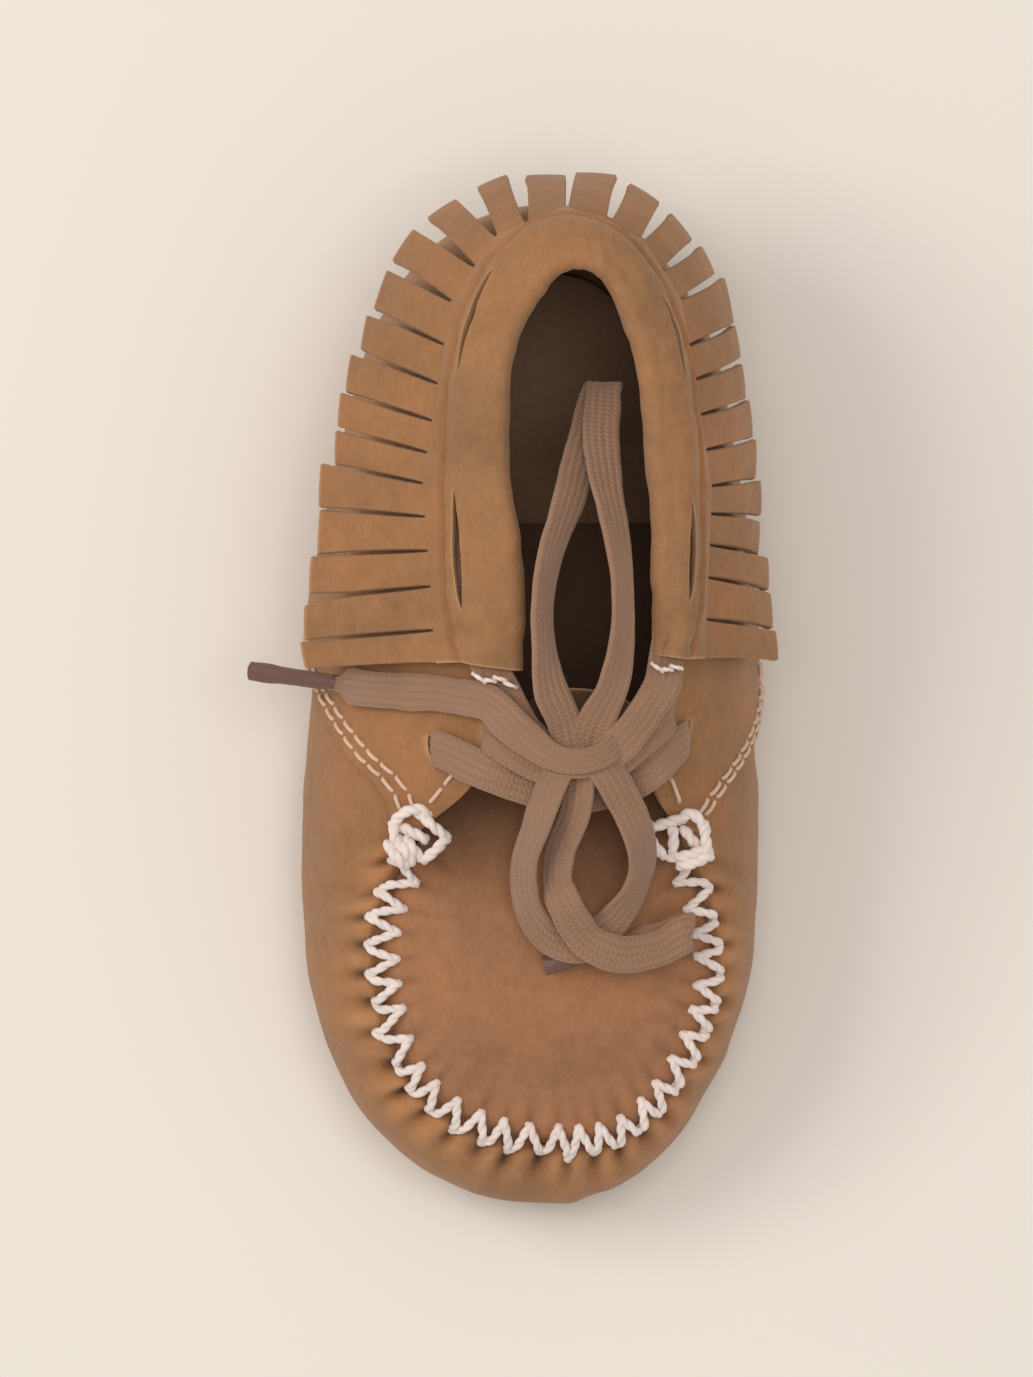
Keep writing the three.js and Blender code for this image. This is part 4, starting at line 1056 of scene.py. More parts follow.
class MoccasinColours(bpy.types.PropertyGroup):
    suede: a_colour("Suede", "Wrap, quarters and fringe", 158, 114, 77)
    plug: a_colour("Plug", "Toe plug", 161, 115, 82)
    collar: a_colour("Collar", "Folded collar", 157, 116, 80)
    raw_edge: a_colour("Raw edge", "Cut edges of the suede", 190, 150, 110)
    lining: a_colour("Lining", "Back of the suede", 130, 98, 72)
    lace: a_colour("Lace", "Flat lace", 152, 116, 92)
    thread: a_colour("Toe thread", "Heavy thread of the toe seam and the tacks", 240, 224, 216)
    topstitch: a_colour("Topstitch", "Thread of the side seams", 224, 191, 165)
    tip: a_colour("Lace tip", "Film on the lace's ends", 108, 76, 66)
    insole: a_colour("Insole", "Footbed", 100, 75, 57)
    sock: a_colour("Heel sock", "Leather under the heel", 140, 108, 86)
    floor: a_colour("Floor", "Sheet under the shoe", 240, 233, 224)


def seat(piece, body, slot, material, *nodes):
    """Gives a finished piece its material and its body, in place of the frame's nodes."""
    piece.data.materials.append(material)
    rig.ride(piece, body)
    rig.replaces(piece, *nodes)
    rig.slot(piece, slot)
    return piece


def shared(name, make, *settings):
    """A material by name, made once."""
    return bpy.data.materials.get(name) or make(name, *settings)


def tools(context):
    """The sizes and the colours that the user has set."""
    return context.scene.moccasin_sizes, context.scene.moccasin_colours


def suede_of(colours):
    return shared("Tan suede", suede, colours.suede[:], colours.raw_edge[:], colours.lining[:])


def white_thread(colours):
    return shared("White thread", spun_thread, colours.thread[:], 0.35)


# The stage.

CAMERA_HEIGHT = 2.0
VIEW_HEIGHT = 0.165
VIEW_CENTRE = (-0.0026, 0.0)
SENSOR = 36.0
FRAMED_LEVEL = 0.03  # height above the floor at which the view has its set height
FLOOR_HALF = 1.5
FLOOR_LEVEL = -0.0001  # just clear of the sole
LIGHT_AIM = (0, 0, 0.02)
# Each light's place, width, power and colour.
LIGHTS = {
    "Key light": ((-0.44, 0.14, 0.62), 0.34, 1.7, (1.0, 0.975, 0.94)),
    "Overhead light": ((0.06, 0.05, 0.85), 0.3, 1.9, (1.0, 0.98, 0.96)),
}
SKY_COLOUR, SKY_STRENGTH = (1.0, 0.975, 0.95, 1), 0.52


def area_light(name, place, size, power, tint):
    light = bpy.data.lights.new(name, "AREA")
    light.size, light.energy, light.color = size, power, tint
    lamp = bpy.data.objects.new(name, light)
    lamp.location = place
    lamp.rotation_euler = (Vector(LIGHT_AIM) - Vector(place)).to_track_quat("-Z", "Y").to_euler()
    bpy.context.scene.collection.objects.link(lamp)


class MOCCASIN_OT_stage(bpy.types.Operator):
    """Camera straight above, a pale floor and soft studio light"""
    bl_idname = "moccasin.stage"
    bl_label = "Stage"

    def execute(self, context):
        _, colours = tools(context)
        camera = bpy.data.cameras.new("Camera")
        camera.sensor_width = SENSOR
        camera.lens = SENSOR * (CAMERA_HEIGHT - FRAMED_LEVEL) / VIEW_HEIGHT
        camera.clip_end = 20
        eye = bpy.data.objects.new("Camera", camera)
        eye.location = (*VIEW_CENTRE, CAMERA_HEIGHT)
        context.scene.collection.objects.link(eye)
        context.scene.camera = eye
        data = bpy.data.meshes.new("floor")
        half = FLOOR_HALF
        corners = [(-half, -half), (half, -half), (half, half), (-half, half)]
        data.from_pydata([(*corner, FLOOR_LEVEL) for corner in corners], [], [(0, 1, 2, 3)])
        floor = bpy.data.objects.new("floor", data)
        data.materials.append(paper_floor("Paper floor", colours.floor[:]))
        context.scene.collection.objects.link(floor)
        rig.stage(floor)
        for name, light in LIGHTS.items():
            area_light(name, *light)
        world = bpy.data.worlds.new("Studio")
        world.use_nodes = True
        sky = world.node_tree.nodes["Background"]
        sky.inputs["Color"].default_value = SKY_COLOUR
        sky.inputs["Strength"].default_value = SKY_STRENGTH
        context.scene.world = world
        context.scene.view_settings.view_transform = "Standard"
        return {"FINISHED"}


# The lace.

KNOT_BAND = (
    (1.6, -7, 46.4, -0.9, 0, 0.4), (2, -8.4, 48.4, -0.7, 0, 0.7), (3.6, -9, 49.5, -0.2, 0, 1),
    (5.6, -9.2, 49.6, 0, 0, 1), (7.6, -8.8, 49.3, 0.3, 0, 0.9), (9, -7.8, 47.8, 0.8, 0, 0.5),
)
KNOT_BAND_WIDTH = 3.0
NARROW_AT_KNOT = {"lace_end_outer": (3.0, 12.0)}  # the width in the knot, and how far along it is pinched
COLLAR_LACE_OUTER = (
    (1.2, -7.2, 47, -0.2, 0, 1), (-1.4, -4.2, 46.8, -0.2, 0, 1), (-3.2, -0.8, 46.6, -0.3, 0, 0.95),
)
COLLAR_LACE_INNER = (
    (15.5, 0.8, 47.4, 0.3, 0, 0.95), (13.4, -2.8, 48.1, 0.3, 0, 0.95), (11, -6, 48.6, 0.2, 0, 1),
    (8.6, -8.2, 48.4, 0, 0, 1),
)
LACE_CORDS = {
    "lace_loop_rear": ("object", None), "lace_loop_front": ("object", None),
    "lace_end_outer": ("fitting", "aglet_outer"), "lace_end_inner": ("fitting", "aglet_inner"),
}
COLLAR_LACE_THICKNESS = 0.85  # of the free lace's, as it is pressed flat in the tunnel
TUNNEL_MOUTH = 0.06  # stations from the collar's end
TUNNEL_SHARE, TUNNEL_REACH = 0.42, 2.9  # in from the ridge: a share of the collar's width, and at most this
AGLET_SIDES = 20
AGLET_LAP = 0.13
AGLET_CRUSH = 0.22
AGLET_MOUTH = (0.95, 0.88, 0.74, 0.7)  # radii of the last rings, round the open tip and back inside it


def aglet(name, ends):
    """A film rolled into a tube, lapped along one side, open and slightly crushed at its tip."""
    ends = np.array(ends, float)
    axis = unit(ends[1] - ends[0])
    reach = np.linalg.norm(ends[1] - ends[0])
    side = unit(np.cross(axis, (0, 0, 1.0)))
    other = np.cross(axis, side)
    turn = np.arange(AGLET_SIDES) / AGLET_SIDES * 2 * np.pi
    lap = AGLET_LAP * (1 - smooth(np.abs(np.angle(np.exp(1j * (turn + 1.2)))), 0.1, 0.34))
    mouth = [reach - 0.1, reach, reach - 0.08, reach - 1.4]
    runs = np.concatenate([[0, 0.25], np.linspace(0.6, reach - 0.35, 22), mouth])
    radii = 1.0 + 0.05 * wave(runs, 4, 4) - 0.22 * (runs < 0.1) - 0.06 * smooth(runs, reach - 3, reach)
    radii[-4:] = AGLET_MOUTH
    crush = 1 - AGLET_CRUSH * smooth(runs, reach * 0.4, reach)
    ring = (np.cos(turn)[None, :, None] * side * (2 - crush)[:, None, None]
            + np.sin(turn)[None, :, None] * other * crush[:, None, None])
    points = ends[0] + runs[:, None, None] * axis + ring * (radii[:, None] + lap)[..., None]
    return mesh_object(name, points.reshape(-1, 3), capped(len(runs), AGLET_SIDES))


def tunnel_stops():
    """From the knot through the collar's tunnel, round the heel and back to the knot."""
    stops = list(COLLAR_LACE_OUTER)
    for at in np.linspace(TUNNEL_MOUTH, COLLAR_SPAN - TUNNEL_MOUTH, 29):
        _, _, up, width = collar_frame(at)
        inward = min(width * TUNNEL_SHARE, TUNNEL_REACH)
        stops.append((*collar_point(at, inward, -TUNNEL_DEPTH / 2), *up))
    return stops + list(COLLAR_LACE_INNER)


class MOCCASIN_OT_lace(bpy.types.Operator):
    """The flat lace: its bow, its knot, its leads, the part in the collar and its two tips"""
    bl_idname = "moccasin.lace"
    bl_label = "Lace"

    def execute(self, context):
        sizes, colours = tools(context)
        width, thickness, ribs = sizes.lace_width / MM, sizes.lace_thickness / MM, sizes.lace_ribs
        finish = shared("Woven lace", woven_lace, colours.lace[:], ribs, width)
        film = shared("Lace tip", lace_tip, colours.tip[:])
        tips = {}
        for name, ends in AGLET_ENDS.items():
            tips[name] = seat(aglet(f"{name}_film", ends), SHOE, "aglet", film, name)
        for name, stops in LACE_ROUTES.items():
            tapered = LACE_CORDS.get(name, ("", None))[1] is not None
            piece, path = ribbon(
                f"{name}_ribbon", stops, width, thickness, ribs, NARROW_AT_KNOT.get(name), tapered)
            seat(piece, SHOE, "lace", finish, name)
            if name in LACE_CORDS:
                far_end, tip = LACE_CORDS[name]
                path = metres(path)
                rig.cord(
                    piece, exit=path[0], length=float(np.linalg.norm(np.diff(path, axis=0), axis=1).sum()),
                    diameter=sizes.lace_width, far_end=far_end, stiffness="limp", lay="loose", path=path,
                    with_pieces=[tips[tip]] if tip else [])
        pressed = thickness * COLLAR_LACE_THICKNESS
        collar_lace, _ = ribbon("lace_collar_ribbon", tunnel_stops(), width, pressed, ribs)
        seat(collar_lace, SHOE, "lace", finish, "lace_collar")
        knot, _ = ribbon("lace_knot_band", KNOT_BAND, KNOT_BAND_WIDTH, thickness, ribs)
        seat(knot, SHOE, "lace", finish, "lace_knot")
        return {"FINISHED"}


# The leather pieces.

FLOOR_SHARE = 0.25  # of the wrap's rows, under the foot
WRAP_LAP = 0.12
# The painted shade in the creases at the toe seam: how dark, how far from the seam, and how far it spreads. Then the
# same of the painted highlight on the folds between them.
CREASE_SHADE, CREASE_DOWN, CREASE_SPREAD = 1.3, 2.8, 1.7
FOLD_HIGHLIGHT, FOLD_HIGHLIGHT_DOWN, FOLD_HIGHLIGHT_SPREAD = 0.6, 3.5, 4
# Painted shade along the seam's edge, where the leather dips under it: how dark, and how far it spreads.
SEAM_EDGE_SHADE, EDGE_SPREAD = 0.6, 0.6
PLUG_SHADE_DEPTH = 0.3
THROAT_SHADE = 1.15
SEAM_COLUMNS, PLAIN_COLUMNS = 0.026, 0.11  # stations from one column of the sheet to the next


def wrap_top(at):
    """Rise of the wrap's upper edge, which goes a little way under the quarters."""
    return np.minimum(quarter_bottom(np.mod(at, COUNT)) + WRAP_LAP, 1)


def wrap_rise(at, share):
    """Rise on the wall for a share across the wrap."""
    return np.clip((share - FLOOR_SHARE) / (1 - FLOOR_SHARE), 0, 1) * wrap_top(at)


def wrap_place(at, share, through):
    """A point of the wrap: share goes from the middle of the sole to the wrap's upper edge."""
    rise = wrap_rise(at, share)
    wall = wall_face(at, rise)
    normal = wall_normal(at, rise)
    inwards = np.clip(share / FLOOR_SHARE, 0, 1)
    flat = mix(MIDDLE, ground_line(at), inwards)
    floor = (share < FLOOR_SHARE)[..., None]
    point = np.where(floor, flat, wall)
    outward = np.where(floor, np.array([0, 0, -1.0]), normal)
    return point - outward * SUEDE * (1 - through)[..., None]


def pull_shade(at, down, phase_shift, depth=1.0):
    """Painted shade in the creases where the toe seam's stitches pull and along the seam's edge, and painted
    highlight on the folds between the creases.
    """
    phase = seam_phase(at)
    valley = 0.5 + 0.5 * np.cos(2 * np.pi * (phase + unevenness(phase) + phase_shift))
    size = 1 + 0.35 * wave(phase, 3, 3.1)
    crease_shade = CREASE_SHADE * size * valley**5 * bell(down, CREASE_SPREAD, CREASE_DOWN)
    fold_highlight = -FOLD_HIGHLIGHT * (1 - valley) * bell(down, FOLD_HIGHLIGHT_SPREAD, FOLD_HIGHLIGHT_DOWN)
    return seam_share(at) * (depth * (crease_shade + fold_highlight) + SEAM_EDGE_SHADE * bell(down, EDGE_SPREAD))


def wrap_shade(at, share):
    """Painted shade in the wrap's creases and painted highlight on its folds, beside the toe seam."""
    return pull_shade(at, down_from_edge(at, wrap_rise(at, share)), 0)


class MOCCASIN_OT_wrap(bpy.types.Operator):
    """The sole and the wall of the shoe: one tray of suede, gathered at the toe"""
    bl_idname = "moccasin.wrap"
    bl_label = "Sole and wrap"

    def execute(self, context):
        _, colours = tools(context)
        along = np.concatenate([
            np.arange(0, OUTER_TACK - 1, PLAIN_COLUMNS),
            np.arange(OUTER_TACK - 1, INNER_TACK + 1, SEAM_COLUMNS),
            np.arange(INNER_TACK + 1, COUNT, PLAIN_COLUMNS)])
        rows = stepped((0, 6), (FLOOR_SHARE, 9), (0.62, 22))
        piece = leather(
            "sole_wrap_leather", wrap_place, along, rows, closed=True, pole=True, shade=wrap_shade)
        seat(piece, SHOE, "tan_suede", suede_of(colours), "sole_wrap")
        return {"FINISHED"}


def plug_place(at, reach, through):
    """A point of the plug: reach goes from its crown to its edge."""
    p = plug_face(at, reach)
    p[..., 2] -= PLUG_SUEDE * (1 - through)
    return p


def plug_shade(at, reach):
    """Painted shade in the plug's creases and painted highlight on its folds beside the toe seam, and the
    painted shadow of the throat.
    """
    crease_shade_and_highlight = pull_shade(at + OUTER_TACK, (1 - reach) * plug_span(at), 0.5, PLUG_SHADE_DEPTH)
    return crease_shade_and_highlight + THROAT_SHADE * throat_share(plug_plain(at, reach))


class MOCCASIN_OT_plug(bpy.types.Operator):
    """The toe plug, let into the wrap"""
    bl_idname = "moccasin.plug"
    bl_label = "Toe plug"

    def execute(self, context):
        _, colours = tools(context)
        seam = INNER_TACK - OUTER_TACK
        along = np.concatenate([np.arange(0, seam, SEAM_COLUMNS), np.arange(seam, len(PLUG_OUTLINE), 0.12)])
        rows = stepped((0, 12), (0.72, 16))
        piece = leather(
            "toe_plug_leather", plug_place, along, rows, closed=True, pole=True, shade=plug_shade)
        finish = shared("Plug suede", suede, colours.plug[:], colours.raw_edge[:], colours.lining[:])
        seat(piece, SHOE, "plug_suede", finish, "toe_plug")
        return {"FINISHED"}


HEEL_SEAM = 0.008  # stations from the middle of the heel to a quarter's edge
HEEL_TUCK = 0.5  # how far the quarters' edges turn in at the heel seam
HEEL_TUCK_REACH = 0.07
SLIT_HALF = 0.37  # stations
SLIT_HALF_WIDTH = 0.65
LACE_SLITS = {"outer": ((7.02, 0.855), (6.66, 0.955)), "inner": ((21.36, 0.86), (21.9, 0.93))}
QUARTER_SEAT = (2.4, -2.1)  # in from the collar's ridge, and above it
QUARTER_REACH_ENDS = (5.2, 4.7)  # stations from the heel; only behind them does its top reach into the collar
QUARTER_REACH_ROWS = (0.91, 1.0)
QUARTER_FROM = {"outer": OUTER_TACK - 0.1, "inner": INNER_TACK + 0.1}
QUARTER_TO = {"outer": HEEL_SEAM, "inner": COUNT - HEEL_SEAM}
QUARTER_ROWS = stepped((0, 19), (0.9, 7))


def quarter_reach(at):
    """The way from the quarter's upper edge to its seat inside the collar; nothing in front of the collar."""
    spots = np.linspace(0, COLLAR_SPAN, 141)
    seats = collar_point(spots, *QUARTER_SEAT)
    edge = edge_line(at)
    nearest = np.argmin(((edge[..., None, :2] - seats[:, :2]) ** 2).sum(-1), axis=-1)
    from_heel = np.minimum(at, COUNT - at)
    return (seats[nearest] - edge) * smooth(from_heel, *QUARTER_REACH_ENDS)[..., None]


def quarter_place(side):
    start, end = QUARTER_FROM[side], QUARTER_TO[side]

    def place(along, across, through):
        at = start + (end - start) * along
        rise = quarter_bottom(at) + (1 - quarter_bottom(at)) * across
        from_heel = np.minimum(at, COUNT - at)
        out = PLY_GAP + QUARTER_SUEDE * through - HEEL_TUCK * bell(from_heel, HEEL_TUCK_REACH)
        ripple = 0.16 * wave(at, 7, 1.7) * (1 - across) + 0.14 * wave(at, 3, 2.3) * across
        face = wall_point(at, rise) + wall_normal(at, rise) * (out + ripple)[..., None]
        return face + quarter_reach(at[:, :1]) * smooth(across, *QUARTER_REACH_ROWS)[..., None]

    return place


def quarter_slots(side):
    start, end = QUARTER_FROM[side], QUARTER_TO[side]
    slots = []
    for at, rise in LACE_SLITS[side]:
        bottom = float(quarter_bottom(at))
        ends = sorted(((at - SLIT_HALF - start) / (end - start), (at + SLIT_HALF - start) / (end - start)))
        half = SLIT_HALF_WIDTH / float(upper_girth(np.array(at))) * (1 - WIDEST_SHARE) / (1 - bottom)
        slots.append((*ends, round((rise - bottom) / (1 - bottom), 2), half))
    return slots


class MOCCASIN_OT_quarters(bpy.types.Operator):
    """The two sides of the upper, with the slits that the lace goes through"""
    bl_idname = "moccasin.quarters"
    bl_label = "Quarters"

    def execute(self, context):
        _, colours = tools(context)
        for side in ("outer", "inner"):
            slots = quarter_slots(side)
            along = [np.linspace(0, 1, 190), np.linspace(0.975, 1, 9)]  # closer together near the heel
            along = np.unique(np.concatenate(along + [np.linspace(slot[0], slot[1], 17) for slot in slots]))
            piece = leather(f"quarter_{side}_leather", quarter_place(side), along, QUARTER_ROWS, slots)
            seat(piece, SHOE, "tan_suede", suede_of(colours), f"quarter_{side}")
        return {"FINISHED"}


# Shares across the collar's strip: near the ridge, the rest of the outer leaf, the fold, the inner leaf.
NEAR_SHARE, LEAF_SHARE, FOLD_SHARE = 0.2, 0.5, 0.7
NEAR_REACH = 3.4
COLLAR_LIP = 0.3  # the collar's lower edge hangs this far over the fringe
LIP_DROOP = 0.16
COLLAR_CROWN, COLLAR_PUCKER = 0.75, 0.28
PUCKER_FADE = 0.2  # across the fold, where the puckers of the outer leaf die away
MOUTH_WAVE, LIP_WAVE = 0.3, 0.22
MOUTH_EASE = 1.4  # the fold stands back this far from the line of the mouth
WINDOW_HALF_WIDTH = 0.62


def collar_place(at, share, through):
    """A point of the collar: share goes over the outer leaf, round the fold and back down the inner leaf."""
    _, _, _, width = collar_frame(at)
    fold = TUNNEL_DEPTH / 2
    flat = width - fold - MOUTH_EASE
    off = (through - 0.5) * COLLAR_SUEDE
    near = (NEAR_REACH + COLLAR_LIP) * share / NEAR_SHARE - COLLAR_LIP
    rest = NEAR_REACH + (flat - NEAR_REACH) * (share - NEAR_SHARE) / (LEAF_SHARE - NEAR_SHARE)
    outer = np.where(share < NEAR_SHARE, near, rest)
    swell = np.sin(np.pi * np.clip(outer / flat, 0, 1))
    crown = COLLAR_CROWN * swell
    pucker = COLLAR_PUCKER * wave(at, 5, 0.9) * swell + 0.05 * wave(at, 8, 0.6)
    pucker = pucker - LIP_DROOP * (1 - smooth(outer, -COLLAR_LIP, 1.2))
    turn = np.pi * (0.5 - (share - LEAF_SHARE) / (FOLD_SHARE - LEAF_SHARE))
    radius = fold + off
    inner = flat + (INNER_LEAF_END - flat) * (share - FOLD_SHARE) / (1 - FOLD_SHARE)
    parts = [share < LEAF_SHARE, share <= FOLD_SHARE]
    rolled = radius * np.sin(turn) - fold + pucker * (1 - (share - LEAF_SHARE) / PUCKER_FADE)
    inward = np.select(parts, [outer, flat + radius * np.cos(turn)], inner)
    above = np.select(parts, [crown + pucker + off, rolled], -TUNNEL_DEPTH - off)
    mouth_wave = MOUTH_WAVE * wave(at, 2, 1.3) * smooth(share, 0.25, 0.5)
    lip_wave = LIP_WAVE * wave(at, 6, 0.7) * (1 - smooth(share, 0, 0.1))
    return collar_point(at, inward + (mouth_wave + lip_wave), above)


class MOCCASIN_OT_collar(bpy.types.Operator):
    """The collar, folded over the mouth, with the windows that show the lace inside it"""
    bl_idname = "moccasin.collar"
    bl_label = "Collar"

    def execute(self, context):
        _, colours = tools(context)
        middle = (WINDOW_INWARD + COLLAR_LIP) / (NEAR_REACH + COLLAR_LIP) * NEAR_SHARE
        half = WINDOW_HALF_WIDTH / (NEAR_REACH + COLLAR_LIP) * NEAR_SHARE
        slots = [(start, end, middle, half) for start, end in WINDOWS]
        along = np.unique(np.concatenate([np.linspace(0, COLLAR_SPAN, 330), *WINDOWS]))
        rows = stepped((0, 9), (NEAR_SHARE, 9), (LEAF_SHARE, 9), (FOLD_SHARE, 6))
        piece = leather("collar_cuff_leather", collar_place, along, rows, slots)
        finish = shared("Collar suede", suede, colours.collar[:], colours.raw_edge[:])
        seat(piece, SHOE, "collar_suede", finish, "collar_cuff")
        return {"FINISHED"}


# The fringe.

FRINGE_TOP = 0.7  # from the collar's ridge to where a strand starts, under the collar
BAND_LAP = 0.15
BAND_TUCK = (0.5, -0.56)  # where the strip's top is tucked under the collar: in from its edge, and above it
BAND_TUCK_SHARE = 0.3
BAND_TOP_THICKNESS = 0.5
TIP_SLANT = 0.38  # each strand's tip is cut this much longer on the heel's side, and shorter on the toe's
NOTCHES = {1.0: 1.1, 2.67: 0.35, 3.43: 0.8, 3.86: 0.9, 10.36: 0.5, 11.93: 0.4}  # cuts that gape at their end
SIDE_FLARE, HEEL_FLARE = 1.0, 0.1
STRAND_BOW, STRAND_CUP, STRAND_RIPPLE = 0.8, 0.12, 0.12
# Each strand's own chances: stretch, lift, roll and curl, the least and the most.
LEAST_CHANCES, MOST_CHANCES = (-0.35, -0.3, -0.45, -0.5), (0.35, 0.3, 0.45, 0.2)
BEND_LEAD, BEND_LENGTH = 0.1, 2.4
STRAND_SEED = 7
HEEL_STATION = 7


def band_place(at, share, through):
    """The uncut strip: tucked under the collar's edge at its top, and skived to nothing at its lower edge,
    where the strands run out from under it."""
    down = fall(at)
    below = np.clip((share - BAND_TUCK_SHARE) / (1 - BAND_TUCK_SHARE), 0, 1)
    top = catmull(RIDGE, at) + down * FRINGE_TOP
    point = mix(top, hinge_point(at) + down * BAND_LAP, below)
    face = FRINGE_SUEDE / 2 + 0.14 - 0.11 * smooth(below, 0.3, 1)
    back = -FRINGE_SUEDE / 2 + (FRINGE_SUEDE - 0.02) * smooth(below, 0.25, 0.9)
    strip = point + fringe_normal(at, down) * (back + (face - back) * through)[..., None]
    tucked = collar_point(at, BAND_TUCK[0], BAND_TUCK[1] - BAND_TOP_THICKNESS * (1 - through))
    return mix(tucked, strip, smooth(share, 0, BAND_TUCK_SHARE))


def strand_place(low, high, gap, flare, dice):
    """One strand, from under the collar to its tip. flare is how much of the fringe's fanning out it takes up
    in its own width, and dice holds its own small chances."""
    high -= 1e-4
    middle = (low + high) / 2
    ends = np.array([low, high])
    roots, tips = hinge_point(ends), catmull(TIP, ends)
    stretch, lift, roll, curl = dice
    reach = np.linalg.norm(tips.mean(0) - roots.mean(0))
    slant = TIP_SLANT * np.array([-1, 1]) * (1 if middle < HEEL_STATION else -1)
    tips = tips + unit(tips - roots) * (stretch + slant)[:, None]
    notch = [NOTCHES.get(cut, 0) / 2 for cut in (low, round(high + 1e-4, 2))]
    root_width = np.linalg.norm(roots[1] - roots[0])
    start = (HINGE_DROP - FRINGE_TOP) / (HINGE_DROP - FRINGE_TOP + reach)
    down = unit(tips.mean(0) - roots.mean(0))
    normal = fringe_normal(middle, down)

    def place(along, across, through):
        at = low + (high - low) * across
        root = mix(catmull(RIDGE, at) + fall(at) * FRINGE_TOP, hinge_point(at), np.clip(along / start, 0, 1))
        share = np.clip((along - start) / (1 - start), 0, 1)
        first, last = mix(roots[0], tips[0], share), mix(roots[1], tips[1], share)
        width = np.linalg.norm(last - first, axis=-1)
        even = np.minimum(width, root_width)
        parted = 0.3 * smooth(share, 0, 0.05) + 0.9 * np.sin(np.pi * share ** 0.8) ** 0.8
        kept = even + (width - even) * flare - gap * parted
        sideways = unit(last - first)
        spot = across - 0.5
        cup = STRAND_CUP * (2 * spot)**2 * smooth(share, 0, 0.3)
        bow = STRAND_BOW * np.sin(np.pi * share) + lift * share**2 - cup
        ripple = STRAND_RIPPLE * wave(share * reach, middle, 6.0) * share
        bow = bow + roll * spot * share + curl * share**3 + ripple
        open_end = smooth(share, 0.55, 1)
        side = spot * (kept - (notch[0] + notch[1]) * open_end) + (notch[0] - notch[1]) / 2 * open_end
        strand = (first + last) / 2 + sideways * side[..., None] + normal * bow[..., None]
        below = FRINGE_SUEDE / 2 * (0.7 - 1.7 * smooth(along, start * 0.6, start * 1.6))
        off = below + (FRINGE_SUEDE / 2 - below) * through
        blend = smooth(share, 0, 0.1)
        up = mix(fringe_normal(at, fall(at)), np.broadcast_to(normal, at.shape + (3,)), blend)
        return np.where((along < start)[..., None], root, strand) + up * off[..., None]

    return place, start


class MOCCASIN_OT_fringe(bpy.types.Operator):
    """The fringe: its band under the collar, and its strands, which lift in groups"""
    bl_idname = "moccasin.fringe"
    bl_label = "Fringe"

    def execute(self, context):
        sizes, colours = tools(context)
        finish = shared("Fringe suede", suede, colours.suede[:], colours.raw_edge[:])
        along = np.linspace(0, COLLAR_SPAN, 240)
        band = leather("fringe_band_leather", band_place, along, np.linspace(0, 1, 11))
        seat(band, SHOE, "tan_suede", finish, "fringe_band")
        chance = np.random.default_rng(STRAND_SEED)
        for group, cuts in FRINGE_CUTS.items():
            corners = hinge_corner(np.array([cuts[0], cuts[-1]]))
            anchor = corners.mean(0)
            axis = unit(corners[1] - corners[0])
            down = fall(np.mean([cuts[0], cuts[-1]]))
            out = unit(down - axis * (down @ axis))
            flare = HEEL_FLARE if "heel" in group else SIDE_FLARE
            for number, (low, high) in enumerate(zip(cuts, cuts[1:]), 1):
                dice = chance.uniform(LEAST_CHANCES, MOST_CHANCES)
                place, start = strand_place(low, high, sizes.fringe_gap / MM, flare, dice)
                node = f"{group}_strand_{number}"
                rows = np.linspace(0, 1, 9)
                strand = leather(f"{node}_leather", place, stepped((0, 6), (start, 34)), rows, soft=0.035)
                strand.data.materials.append(finish)
                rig.blend(
                    strand, SHOE, group, start=metres(anchor - out * BEND_LEAD),
                    end=metres(anchor + out * BEND_LENGTH))
                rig.replaces(strand, node)
                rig.slot(strand, "tan_suede")
        return {"FINISHED"}


# Threads.

SEAM_ARCH = 0.75
CROSSING_SHARE = 0.34  # where a stitch crosses the seam, on its way from the wrap's hole to the plug's
HOLE_DEPTH = 0.7
STITCH_LOW, STITCH_HIGH = 0.5, 0.75  # in radii over the leather: beside a hole, and half way to the crest
TACK_YARN = 1.25  # radius of the two big tacks' thread, as a share of the seam's


def wrap_hole(at):
    rise = 1 - STITCH_REACH / float(upper_girth(np.array(at))) * (1 - WIDEST_SHARE)
    at = np.array([at])
    out = wall_normal(at, np.array([rise]))[0] + np.array([0, 0, 1.5])
    return wall_face(at, np.array([rise]))[0], unit(out)


def plug_hole(at):
    around = np.array([at - OUTER_TACK])
    return plug_face(around, 1 - STITCH_REACH / plug_span(around))[0], np.array([0, 0, 1.0])


def stitch_over(bundle, start, end, crest, radius, turn):
    """One stitch from hole to hole over the seam. start and end are a place and the way out of the
    leather."""
    halves = [[place - up * HOLE_DEPTH, place + up * radius * STITCH_LOW,
               mix(place, crest, 0.5) + up * radius * STITCH_HIGH] for place, up in (start, end)]
    yarn(bundle, [*halves[0], crest, *halves[1][::-1]], radius, turn=turn)


